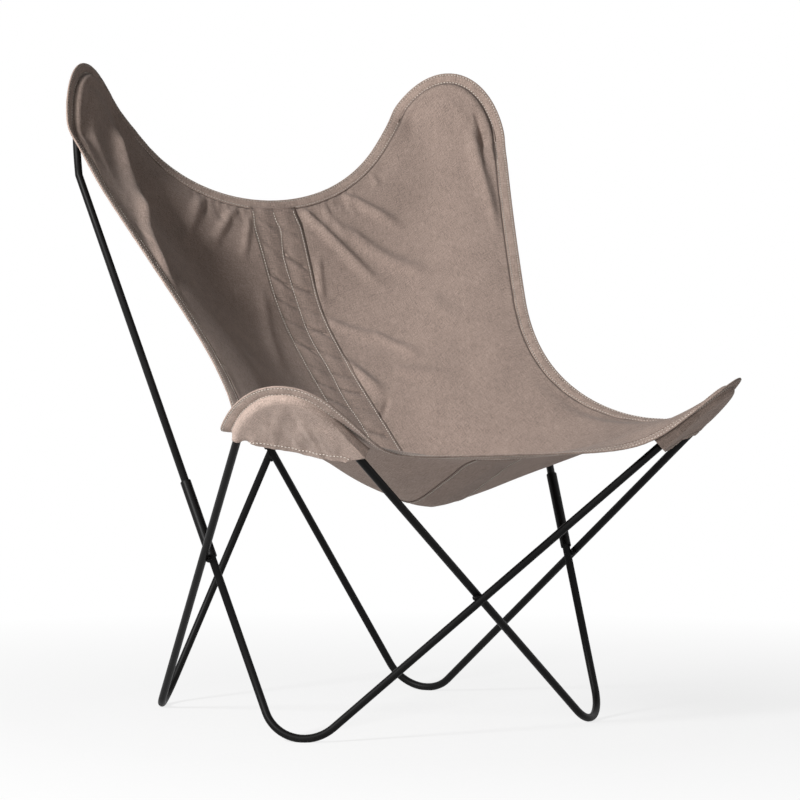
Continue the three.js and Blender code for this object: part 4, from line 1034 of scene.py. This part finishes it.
def closed_tube(rings):
    """Faces between rings of points, with a fan to a middle point at both ends."""
    count, sides = rings.shape[:2]
    index = np.arange(count * sides).reshape(count, sides)
    wrapped = np.hstack([index, index[:, :1]])
    points = np.vstack([rings.reshape(-1, 3), rings[0].mean(0), rings[-1].mean(0)])
    first, last = np.full(sides, count * sides), np.full(sides, count * sides + 1)
    near = np.stack([wrapped[0, 1:], wrapped[0, :-1], first], 1)
    far = np.stack([wrapped[-1, :-1], wrapped[-1, 1:], last], 1)
    return points, *outward(points, quads(wrapped), np.vstack([near, far]))


def outward(points, faces, triangles=np.zeros((0, 3), int)):
    """Faces turned so that the solid they close has a positive volume."""
    whole = np.vstack([faces[:, [0, 1, 2]], faces[:, [0, 2, 3]], triangles])
    a, b, c = (points[whole[:, i]] - points.mean(0) for i in range(3))
    if dot(a, np.cross(b, c)).sum() < 0:
        return faces[:, ::-1], triangles[:, ::-1]
    return faces, triangles


def add_rod(name, path, nodes):
    """A circle carried along a path without twisting: c + r (n cos a + b sin a)."""
    steps = unit(np.diff(path, axis=0))
    ahead = unit(np.vstack([steps[:1], steps[1:] + steps[:-1], steps[-1:]]))
    normals = [unit(np.cross(ahead[0], [0.3, 0.5, 0.81]))]
    for step in ahead[1:]:
        normals.append(unit(normals[-1] - step * (normals[-1] @ step)))
    n = np.array(normals)
    b = np.cross(ahead, n)
    turn = np.linspace(0, 2 * math.pi, ROD_SIDES, endpoint=False)[None, :, None]
    rings = ROD_DIAMETER / 2 * (n[:, None] * np.cos(turn) + b[:, None] * np.sin(turn))
    points, faces, ends = closed_tube(path[:, None] + rings)
    points[:, 2] = np.maximum(points[:, 2], 0)
    add_piece(name, new_mesh(name, points, faces, None, ends), PAINT, nodes)


def add_sleeve(name, start, end, nodes):
    """A wall's profile with broken edges, turned about the sleeve's axis."""
    axis, length = unit(end - start), np.linalg.norm(end - start)
    outer, bore, chamfer = SLEEVE_DIAMETER / 2, SLEEVE_BORE / 2, SLEEVE_CHAMFER
    mouth = [(bore, chamfer), (bore + chamfer / 2, 0), (outer - chamfer, 0),
             (outer - chamfer / 3, chamfer / 3), (outer, chamfer), (outer, chamfer * 3)]
    profile = np.array(mouth + [(r, length - w) for r, w in reversed(mouth)])
    n = unit(np.cross(axis, [0.3, 0.5, 0.81]))
    b = np.cross(axis, n)
    turn = np.linspace(0, 2 * math.pi, ROD_SIDES + 4, endpoint=False)[None, :, None]
    radius, way = profile[:, 0, None, None], profile[:, 1, None, None]
    rings = start + axis * way + radius * (n * np.cos(turn) + b * np.sin(turn))
    index = np.arange(rings[..., 0].size).reshape(rings.shape[:2])
    index = np.hstack([index, index[:, :1]])
    points = rings.reshape(-1, 3)
    faces, _ = outward(points, quads(np.vstack([index, index[:1]])))
    mesh = new_mesh(name, points, faces)
    mesh.set_sharp_from_angle(angle=math.radians(50))
    add_piece(name, mesh, PAINT, nodes)


def add_bead(name, cross, signs, nodes):
    """A weld bead in the crotch of two rods: an egg whose radius ripples along its length."""
    p, q = signs
    towards = unit(cross["u"] * p + cross["v"] * q)
    lateral = unit(cross["u"] * p - cross["v"] * q)
    upright = np.cross(towards, lateral)
    centre = (cross["a"] + cross["b"]) / 2 + towards * BEAD_RADIUS * 0.85
    polar = np.linspace(0.02, math.pi - 0.02, 26)[:, None, None]
    turn = np.linspace(0, 2 * math.pi, 24, endpoint=False)[None, :, None]
    ripple = 1 + 0.05 * np.sin(polar * 16) * np.sin(polar) + 0.03 * np.sin(3 * turn + 1)
    rings = centre + BEAD_RADIUS * ripple * (towards * np.cos(polar) * 0.95
                                             + lateral * np.sin(polar) * np.cos(turn) * 0.62
                                             + upright * np.sin(polar) * np.sin(turn) * 0.72)
    points, faces, ends = closed_tube(rings)
    add_piece(name, new_mesh(name, points, faces, None, ends), PAINT, nodes)


def add_frame():
    for side in (1, -1):
        name = SIDE_NAMES[side]
        add_rod(name + "_base_bar", base_path(side), [name + "_base_rod"])
        add_rod(name + "_back_bar", back_path(side), [name + "_back_loop"])
        for end in ("side", "rear"):
            add_sleeve(f"{name}_{end}_sleeve", *sleeve_ends(side, end), [f"{name}_{end}_socket"])
        cross = crossing(*side_pair(LOOPS, side))
        for where, signs in (("front", (-1, 1)), ("back", (1, -1))):
            add_bead(f"{name}_side_bead_{where}", cross, signs, [f"{name}_side_weld_{where}"])
    front = crossing(LOOPS[1]["front_foot"], LOOPS[1]["front_ear"],
                     LOOPS[-1]["front_foot"], LOOPS[-1]["front_ear"])
    rear = crossing(*rear_pair(1))
    add_bead("front_bead_left", front, (1, -1), ["front_weld_left"])
    add_bead("front_bead_right", front, (-1, 1), ["front_weld_right"])
    add_bead("rear_bead_upper", rear, (1, 1), ["rear_weld_upper"])
    add_bead("rear_bead_lower", rear, (-1, -1), ["rear_weld_lower"])


# How dark, and how wide, the painted shade is in the groove beside the flange, and the darkening
# along its rows of stitches, partly painted shade in their dents and partly their needle holes
GROOVE_SHADE, GROOVE_WIDTH, STITCH_SHADE, STITCH_WIDTH = 0.85, 0.0013, 0.5, 0.0006


def add_panels(halves):
    for side, half in halves.items():
        name = SIDE_NAMES[side]
        # Painted shade in the groove where the panel meets the flange
        shade = GROOVE_SHADE * bell(half.reach - GROOVE, GROOVE_WIDTH)
        mesh = new_mesh(name + "_main_cloth", half.points, half.faces, half.flat, None, shade)
        nodes = [name + "_sling_panel"]
        piece = add_piece(name + "_main_cloth", mesh, CANVAS, nodes, CLOTH)


# Cross-section of the flange: places across it, closest at its edges and rows of stitches,
# the radius of its edges, the stitches' dents and its plumpness
STITCH_ROWS = (0.0029, 0.0145)
FLANGE_ACROSS = np.array([
    0, 0.0003, 0.0009, 0.0018, 0.0025, 0.0029, 0.0033, 0.0042, 0.006, 0.0085, 0.011,
    0.0132, 0.0140, 0.0145, 0.0150, 0.0158, 0.0164, 0.0169, 0.017,
])
EDGE_ROUND, DENT_WIDTH, DENT_SHARE, PLUMP_SHARE = 0.0016, 0.0011, 0.34, 0.14
FLANGE_RIPPLES = (0.045, 0.021), (0.00035, 0.0002)
FLANGE_PUCKERS = (0.012, 0.008), (0.10, 0.08)


def flange_height(d):
    """Half thickness across the flange: rounded edges, less the stitches' dents."""
    edge, inner = (np.sqrt(np.clip(1 - (1 - np.clip(x / EDGE_ROUND, 0, 1)) ** 2, 0, 1))
                   for x in (d, BAND_WIDTH - d))
    dents = sum(bell(d - row, DENT_WIDTH) for row in STITCH_ROWS)
    plump = 1 - PLUMP_SHARE + PLUMP_SHARE * np.sin(math.pi * np.clip(d / BAND_WIDTH, 0, 1))
    return BAND_THICKNESS / 2 * edge * inner * plump * (1 - DENT_SHARE * dents)


def add_flange(name, st, nodes, seed):
    """The flange's cross-section carried along its stations, with a slow ripple."""
    d = np.concatenate([FLANGE_ACROSS, FLANGE_ACROSS[-2:0:-1]])
    level = flange_height(d)
    level[len(FLANGE_ACROSS):] *= -1
    way = np.concatenate([[0], np.cumsum(np.linalg.norm(np.diff(st["point"], axis=0), axis=1))])
    flat = np.stack([way, 0 * way], 1)
    ripple = waves(flat, seed, *FLANGE_RIPPLES)
    pucker = 1 + waves(flat, seed + 1, *FLANGE_PUCKERS)
    point, inward, normal = (st[k][:, None] for k in ("point", "inward", "normal"))
    height = level[None] * pucker[:, None] + ripple[:, None] * d[None] / BAND_WIDTH
    rings = point + inward * d[None, :, None] + normal * height[..., None]
    points, faces, ends = closed_tube(rings)
    across, along = np.broadcast_to(d, height.shape), np.broadcast_to(way[:, None], height.shape)
    uv = np.vstack([np.stack([across, along], -1).reshape(-1, 2), [[0, 0]], [[0, way[-1]]]])
    # Darkening along the rows of stitches: painted shade in their dents, together with their needle
    # holes
    shade = sum(STITCH_SHADE * bell(across - row, STITCH_WIDTH) for row in STITCH_ROWS)
    shade = np.concatenate([shade.ravel(), [0, 0]])
    mesh = new_mesh(name, points, faces, uv, ends, shade)
    return add_piece(name, mesh, FLANGE, nodes)


KEYS = ("point", "inward", "normal")


def run_of(left, right):
    """One run of stations from the left ear's tip over the middle to the right ear's tip."""
    return {k: np.concatenate([left[k][::-1], right[k][1:]]) for k in KEYS}


def add_flanges(halves):
    left, right = halves[1].edges, halves[-1].edges
    runs = (("left_side", "left_edge_band", left["side"]),
            ("right_side", "right_edge_band", right["side"]),
            ("back", "back_edge_band", run_of(left["back"], right["back"])),
            ("front", "front_edge_band", run_of(left["front"], right["front"])))
    for seed, (name, node, st) in enumerate(runs):
        flange = add_flange(name + "_flange", st, [node], 3 + 2 * seed)
        seams = add_flange_stitches(name + "_flange_stitches", st)


STITCH_LENGTH, STITCH_RADIUS = 0.0034, 0.00062


def add_stitches(name, centres, directions, normals):
    """One small spindle for each stitch: three rings of five points and two tips, set along
    its direction and standing proud along its normal."""
    aside = np.cross(directions, normals)
    way = np.array([-0.36, 0, 0.36]) * STITCH_LENGTH
    thick = np.array([0.8, 1.0, 0.8]) * STITCH_RADIUS
    turn = np.linspace(0, 2 * math.pi, 5, endpoint=False)
    local = [(w, t * math.cos(a), t * math.sin(a)) for w, t in zip(way, thick) for a in turn]
    local = np.array(local + [(s * STITCH_LENGTH / 2, 0, -STITCH_RADIUS) for s in (-1, 1)])
    basis = np.stack([directions, aside, normals], 1)
    points = (centres[:, None] + np.einsum("vk,nkx->nvx", local, basis)).reshape(-1, 3)
    ring = np.arange(15).reshape(3, 5)
    wrapped = np.hstack([ring, ring[:, :1]])
    near = np.stack([wrapped[0, 1:], wrapped[0, :-1], np.full(5, 15)], 1)
    far = np.stack([wrapped[2, :-1], wrapped[2, 1:], np.full(5, 16)], 1)
    body, tips = outward(points[:17], quads(wrapped), np.vstack([near, far]))
    step = (np.arange(len(centres)) * 17)[:, None, None]
    faces, ends = (body[None] + step).reshape(-1, 4), (tips[None] + step).reshape(-1, 3)
    return add_piece(name, new_mesh(name, points, faces, None, ends), THREAD, [])


def along_line(points, normals):
    """Even places along a polyline, with its direction and the cloth's normal there."""
    line = Line(points)
    count = max(2, int(line.length / STITCH_PITCH))
    share = (np.arange(count) + 0.5) / count
    way, step = share * line.length, STITCH_PITCH / line.length / 2
    normal = np.stack([np.interp(way, line.lengths, normals[:, a]) for a in range(3)], -1)
    direction = unit(line.at(share + step) - line.at(share - step))
    return line.at(share), direction, unit(normal - direction * dot(normal, direction)[:, None])


def add_flange_stitches(name, st):
    """Two rows of stitches on both faces of a flange."""
    rows = []
    for d in STITCH_ROWS:
        for sign in (1, -1):
            level = float(flange_height(np.array(d))) + 0.00012
            points = st["point"] + st["inward"] * d + st["normal"] * sign * level
            rows.append(along_line(points, sign * st["normal"]))
    return add_stitches(name, *(np.vstack(part) for part in zip(*rows)))


# The strap and the tape: stitch rows and the depth of their shades, the strap's puff, and its
# creases' pitch, slant, half width, depth, the swell beside them and the wander of their places;
# the shades are painted shade along the stitch rows (with their needle holes), at the edges and in
# the creases
STRAP_ROWS = (-STRAP_STITCH, 0.0, STRAP_STITCH)
STRAP_THICKNESS = 0.0009
STRAP_PUFF, TAPE_PUFF = 0.0013, 0.0004
CREASE_PITCH, CREASE_SLANT, CREASE_WIDTH, CREASE_DEPTH = 0.044, 0.75, 0.0042, 0.0026
CREASE_SWELL, CREASE_SWELL_PLACE, CREASE_SWELL_WIDTH = 0.0013, 0.009, 0.006
CREASE_WANDER, CREASE_OFFSET = 0.006, 0.009
CREASES_FROM, CREASES_TO = (0.02, 0.03), (0.62, 0.2)
ROW_SHADE, EDGE_SHADE, CREASE_SHADE = 0.35, 0.5, 0.5
ROW_WIDTH, EDGE_WIDTH, CREASE_MARGIN, CREASE_RANGE = 0.0011, 0.0008, 0.0006, 0.002


def strip_net(halves, sign, rise):
    """The panels' first columns on both sides of the seam, moved along their normals, with
    three times as many columns, and each point's place across and along."""
    first = CELLS_ACROSS // COLUMNS
    left, right = halves[1], halves[-1]
    there, here = right.index[first:0:-1], left.index[:first + 1]
    points = np.concatenate([right.points[there], left.points[here]])
    normals = np.concatenate([right.normals[there], left.normals[here]])
    fine = np.linspace(0, len(points) - 1, 6 * first + 1)
    low = np.minimum(fine.astype(int), len(points) - 2)
    share = np.broadcast_to((fine - low)[:, None], (len(fine), points.shape[1]))
    points = mix(points[low], points[low + 1], share)
    normals = unit(mix(normals[low], normals[low + 1], share))
    middle = points[len(points) // 2]
    way = np.concatenate([[0], np.cumsum(np.linalg.norm(np.diff(middle, axis=0), axis=1))])
    across = points[..., 0].copy()
    return points + sign * rise * normals, normals, across, np.broadcast_to(way, across.shape)


def puffed(across, height):
    """Two bolsters between the middle and the outer rows of stitches."""
    return height * smooth(1 - np.abs(np.abs(across) / STRAP_STITCH * 2 - 1))


def strap_height(across, along):
    """The strap's puff between its rows of stitches, less narrow creases that run across it."""
    left = across > 0
    wander = CREASE_WANDER * np.sin(along * 37) + CREASE_OFFSET * left
    place = (along - CREASE_SLANT * across + wander) / CREASE_PITCH
    nearest = np.round(place)
    size = 0.6 + 0.4 * np.sin(nearest * 2.4 + 1.9 * left)
    aside = (place - nearest) * CREASE_PITCH
    crease = CREASE_DEPTH * bell(aside, CREASE_WIDTH)
    crease = size * (crease - CREASE_SWELL * bell(aside - CREASE_SWELL_PLACE, CREASE_SWELL_WIDTH))
    fade = fade_in(along, CREASES_FROM) * smooth((CREASES_TO[0] - along) / CREASES_TO[1])
    held = smooth((STRAP_STITCH - np.abs(across)) / 0.004) * smooth(np.abs(across) / 0.003)
    return puffed(across, STRAP_PUFF) - crease * fade * held


def add_strips(halves):
    rise = (CLOTH + STRAP_THICKNESS) / 2 + 0.0002
    for name, sign, node in (("seam_strap", 1, "centre_strap"), ("under_tape", -1, "seam_tape")):
        points, normals, across, along = strip_net(halves, sign, rise)
        plain = puffed(across, TAPE_PUFF)
        height = strap_height(across, along) if sign > 0 else plain
        points = points + sign * normals * height[..., None]
        index = np.arange(across.size).reshape(across.shape)
        faces, uv = quads(index), np.stack([across, along], -1).reshape(-1, 2)
        edge = np.maximum(0, STRAP_WIDTH / 2 - np.abs(across))
        # Painted shade along the stitch rows (partly their needle holes), along the edges where the
        # strip lies on the panel, and in the creases
        shade = ROW_SHADE * bell(np.abs(across) - STRAP_STITCH, ROW_WIDTH)
        shade += ROW_SHADE * bell(across, ROW_WIDTH) * (sign > 0)
        shade += EDGE_SHADE * bell(edge, EDGE_WIDTH)
        shade += CREASE_SHADE * np.clip((plain + CREASE_MARGIN - height) / CREASE_RANGE, 0, 1)
        faces = faces[:, ::-1] if sign > 0 else faces
        mesh = new_mesh(name, points.reshape(-1, 3), faces, uv, None, shade)
        piece = add_piece(name, mesh, STRAP, [node], STRAP_THICKNESS)
        rows, column = [], np.arange(across.shape[1])
        for row in STRAP_ROWS if sign > 0 else STRAP_ROWS[::2]:
            wander = 0.0012 * np.sin(along[0] * 47) * (row == 0)
            place = np.interp(row + wander, across[:, 0], np.arange(len(across)))
            low = np.minimum(place.astype(int), len(across) - 2)
            normal = normals[low, column] * sign
            line = mix(points[low, column], points[low + 1, column], place - low)
            line = line + normal * (STRAP_THICKNESS / 2 + 0.00015)
            keep = slice(RIM // 2, -(RIM // 2))
            rows.append(along_line(line[keep], normal[keep]))
        seams = add_stitches(name + "_stitches", *(np.vstack(part) for part in zip(*rows)))


# Pockets: how far they reach along the edge inwards of the ear, and along the side; the grid,
# the hem's start inside the rim, how its pushes spread, and the cloth's waves and painted shades
POCKET_REACHES = {"rear": (0.040, 0.012), "front": (0.092, 0.017)}
POCKET_STATIONS = 150
POCKET_ROWS, ROW_POWER = 26, 1.6
HEM_INSET, HEM_SPREAD = 0.002, 9
NET_GAP, NET_STEP, NET_REACH, NET_SPREAD, NET_LEAST = 0.0008, 3, 0.3, 0.005, 0.2
POCKET_EASE, POCKET_EASE_ROUNDS, EASED_FROM_ROW = 0.6, 12, 8
POCKET_WAVES, WAVES_FADE = ((0.06, 0.034), (0.0011, 0.0005)), (0.012, 0.03)
HEM_RISE, HEM_EDGE = 0.0008, 0.0016
SEAM_SHADE, SEAM_WIDTH, HEM_SHADE, HEM_WIDTH = 0.6, 0.0018, 0.45, 0.001


def pocket_stations(half, end):
    """Even stations round an ear, from the pocket's inner end over the tip to its side end."""
    out, (inner_reach, side_reach) = half.outline, POCKET_REACHES[end]
    own, line, last = (out.rear, "back", 0) if end == "rear" else (out.front, "front", 1)
    inner_reach, side_reach = inner_reach + out.spans[line], side_reach + out.spans["side"][last]
    way = np.linspace(-inner_reach, side_reach, POCKET_STATIONS)
    inner = out.stations(line, 1 + way[way < 0] / out.lines[line].length)
    share = way[way >= 0] / out.lines["side"].length
    outer = out.stations("side", share if end == "rear" else 1 - share)
    st = {k: np.concatenate([inner[k], outer[k]]) for k in ("point", "inward", "lift", "free")}
    st["hold"] = np.ones(len(way))
    st["inward"] = unit(st["inward"] - own.normal * (st["inward"] @ own.normal)[:, None])
    st["normal"] = np.broadcast_to(own.normal, st["inward"].shape)
    return own, st, way


def under_net(half, points, normal):
    """Points brought down along a normal until they are clear of the main cloth, whose height
    at a point is the mean of the cloth round it, weighed by exp(-(d / spread)^2)."""
    room = CLOTH + NET_GAP
    net = half.points[::NET_STEP]
    net = net[np.linalg.norm(net - points.mean(0), axis=1) < NET_REACH]
    aside = unit(np.cross(normal, [0.31, 0.2, 0.93]))
    plane = np.stack([aside, np.cross(normal, aside)], 1)
    net_flat, net_height, flat, height = net @ plane, net @ normal, points @ plane, points @ normal
    squared = ((flat[:, None] - net_flat[None]) ** 2).sum(-1)
    weight = np.exp(-squared / NET_SPREAD**2)
    total = weight.sum(1)
    mean = (weight @ net_height) / np.maximum(total, 1e-9)
    cap = np.where(total > NET_LEAST, mean - room, np.inf)
    return points + normal * np.minimum(0, cap - height)[:, None]


def widened(push, spread):
    """A push along a row, spread out and blurred, and nowhere less than it was."""
    for step in (np.max, np.mean):
        padded = np.pad(push, spread, mode="edge")
        push = step(np.lib.stride_tricks.sliding_window_view(padded, 2 * spread + 1), axis=-1)
    return push


def pocket_grid(half, end):
    """The pocket's grid: under the rim's rows round the rod, then hanging on to its hem."""
    own, st, way = pocket_stations(half, end)
    rods = half.outline.rods
    rim = rim_grid(st, rods, -1, POCKET_SLACK)
    rows = [under_net(half, row, own.normal) if d > BAND_WIDTH + 0.003 else row
            for d, row in zip(RIM_ROWS, rim)]
    hem = rim[-1] + st["inward"] * HEM_INSET
    share = (way - way[0]) / (way[-1] - way[0])
    sag = unit(st["inward"].mean(0)) * POCKET_SAG
    hem = mix(hem[0], hem[-1], share) + sag * np.sin(math.pi * share)[:, None]
    push = lift_over(rods, hem, own.normal, -1, CLOTH / 2, 1)
    clear = under_net(half, hem - own.normal * push[:, None], own.normal)
    hem = hem - own.normal * widened((hem - clear) @ own.normal, HEM_SPREAD)[:, None]
    for r in range(1, POCKET_ROWS + 1):
        share = 1 - (1 - r / POCKET_ROWS) ** ROW_POWER
        free = mix(rim[-1], hem, np.full(len(way), share))
        push = lift_over(rods, free, own.normal, -1, CLOTH / 2, 1)
        rows.append(under_net(half, free - own.normal * push[:, None], own.normal))
    return own, np.stack(rows), way


def add_pocket(half, end, node, seed):
    """A pocket's cloth with soft waves, its hem folded double, and the hem's row of stitches."""
    own, grid, way = pocket_grid(half, end)
    index = np.arange(grid[..., 0].size).reshape(grid.shape[:2])
    faces, points = quads(index), grid.reshape(-1, 3)
    weight = np.zeros(index.shape)
    weight[EASED_FROM_ROW:-1, 1:-1] = POCKET_EASE
    points = relaxed(points, faces, weight.ravel(), POCKET_EASE_ROUNDS)
    push = lift_over(half.outline.rods, points, own.normal, -1, CLOTH / 2, 0)
    points = points - own.normal * push[:, None]
    if net_normals(points, faces)[index[len(index) // 2, POCKET_STATIONS // 2]] @ own.normal > 0:
        faces = faces[:, ::-1]
    down = np.zeros(index.shape)
    down[1:] = np.cumsum(np.linalg.norm(np.diff(points[index], axis=0), axis=-1), axis=0)
    up = down[-1] - down
    uv = np.stack([np.broadcast_to(way, down.shape), down], -1).reshape(-1, 2)
    relief = waves(uv, seed, *POCKET_WAVES).reshape(down.shape) * fade_in(down, WAVES_FADE)
    relief = relief + HEM_RISE * smooth((HEM_FOLD - up) / HEM_EDGE + 0.5)
    normals = net_normals(points, faces)
    points = points + normals * relief.ravel()[:, None]
    # Painted shade in the recess beside the flange, and along the hem's edge where its stitches run
    shade = SEAM_SHADE * bell(GROOVE - BAND_WIDTH + down, SEAM_WIDTH)
    shade += HEM_SHADE * bell(up - HEM_FOLD, HEM_WIDTH)
    name = f"{SIDE_NAMES[half.side]}_{end}_ear_cloth"
    piece = add_piece(name, new_mesh(name, points, faces, uv, None, shade), POCKET_LIT_CANVAS,
                      [node], CLOTH)
    low, column = np.clip((up > HEM_FOLD).sum(0) - 1, 0, len(up) - 2), np.arange(len(way))
    share = (up[low, column] - HEM_FOLD) / (up[low, column] - up[low + 1, column])
    line = mix(points[index[low, column]], points[index[low + 1, column]], share)
    normal = normals[index[low, column]]
    row = along_line((line + normal * (CLOTH / 2 + 0.0003))[2:-2], normal[2:-2])
    seam = add_stitches(name + "_stitches", *row)


def add_pockets(halves):
    for side, half in halves.items():
        for seed, end, node in ((20, "rear", "back_pocket"), (24, "front", "front_pocket")):
            add_pocket(half, end, f"{SIDE_NAMES[side]}_{node}", seed + side)


def seen_rays(s):
    """1 for rays from the camera and for reflected and passing ones."""
    rays = [s.node("ShaderNodeLightPath", {}, {}, k) for k in
            ("Is Camera Ray", "Is Glossy Ray", "Is Transmission Ray")]
    return (rays[0] + rays[1] + rays[2]).clamp(0, 1)


def add_floor():
    """A pale floor, white to the camera away from the chair, with a faint shadow near it."""
    s = paint_box("pale_floor", (0.8, 0.8, 0.8))
    where = s.place("Object")
    grain = s.noise(where, 40, 2)
    s.finish(Base_Color=s.colours(grain, (0.78, 0.78, 0.78), (0.82, 0.82, 0.82)), Roughness=0.8)
    glow = s.node("ShaderNodeEmission", {}, {"Color": (1.0, 1.0, 1.0), "Strength": 1.0})
    away = s.node("ShaderNodeVectorMath", {"operation": "LENGTH"}, {0: where}, "Value")
    share = seen_rays(s) * (0.8 + away.clamp(0.5, 1.6) * 0.2)
    surface = Value(s, s.surface.outputs[0])
    mixed = s.node("ShaderNodeMixShader", {}, {0: share, 1: surface, 2: glow})
    s.tree.links.new(mixed.socket, s.tree.nodes["Material Output"].inputs["Surface"])
    corners = np.array([(-1, -1, 0), (1, -1, 0), (1, 1, 0), (-1, 1, 0)]) * 60.0
    floor = bpy.data.objects.new("floor", new_mesh("floor", corners, np.array([[0, 1, 2, 3]])))
    floor.data.materials.append(s.holder)
    bpy.context.scene.collection.objects.link(floor)


# The camera: where the photograph was taken from, in the unmoved frame
CAMERA_PLACE = np.array([-2.5904, -4.7331, 0.6518])
CAMERA_YAW = math.radians(29.213)
CAMERA_PITCH = math.radians(-2.168)
CAMERA_LENS = 170.58


def add_camera():
    camera = bpy.data.cameras.new("camera")
    camera.lens, camera.sensor_width, camera.clip_end = CAMERA_LENS, 36, 300
    seat = bpy.data.objects.new("camera", camera)
    seat.location = CAMERA_PLACE + MOVE
    seat.rotation_euler = (math.pi / 2 + CAMERA_PITCH, 0, -CAMERA_YAW)
    bpy.context.scene.collection.objects.link(seat)
    bpy.context.scene.camera = seat


def add_lamp(name, place, target, size, power):
    light = bpy.data.lights.new(name, "AREA")
    light.shape, light.size, light.energy = "DISK", size, power
    lamp = bpy.data.objects.new(name, light)
    lamp.location = place
    lamp.rotation_euler = (Vector(target) - Vector(place)).to_track_quat("-Z", "Y").to_euler()
    bpy.context.scene.collection.objects.link(lamp)


# Lamps: name, place, target, size and power; and the world's strength as a light
LAMPS = (("key", (-3.1, -0.9, 2.0), (0, 0, 0.6), 0.7, 150),
         ("front", (-1.6, -4.0, 1.8), (0, 0, 0.5), 1.6, 14))
FILL = 0.082


def add_world():
    """Even fill from all round, white where the camera or a reflection sees it."""
    world = bpy.data.worlds.new("studio")
    bpy.context.scene.world = world
    s = Shader(world)
    background = s.tree.nodes["Background"]
    s.set_input(background, "Color", (1.0, 1.0, 1.0))
    s.set_input(background, "Strength", FILL + seen_rays(s) * (1 - FILL))


def main():
    add_camera()
    halves = {side: Half(side) for side in (1, -1)}
    for half in halves.values():
        dress(half)
    add_frame()
    add_panels(halves)
    add_flanges(halves)
    add_strips(halves)
    add_pockets(halves)
    add_floor()
    for lamp in LAMPS:
        add_lamp(*lamp)
    add_world()
    bpy.context.scene.view_settings.view_transform = "Standard"


main()
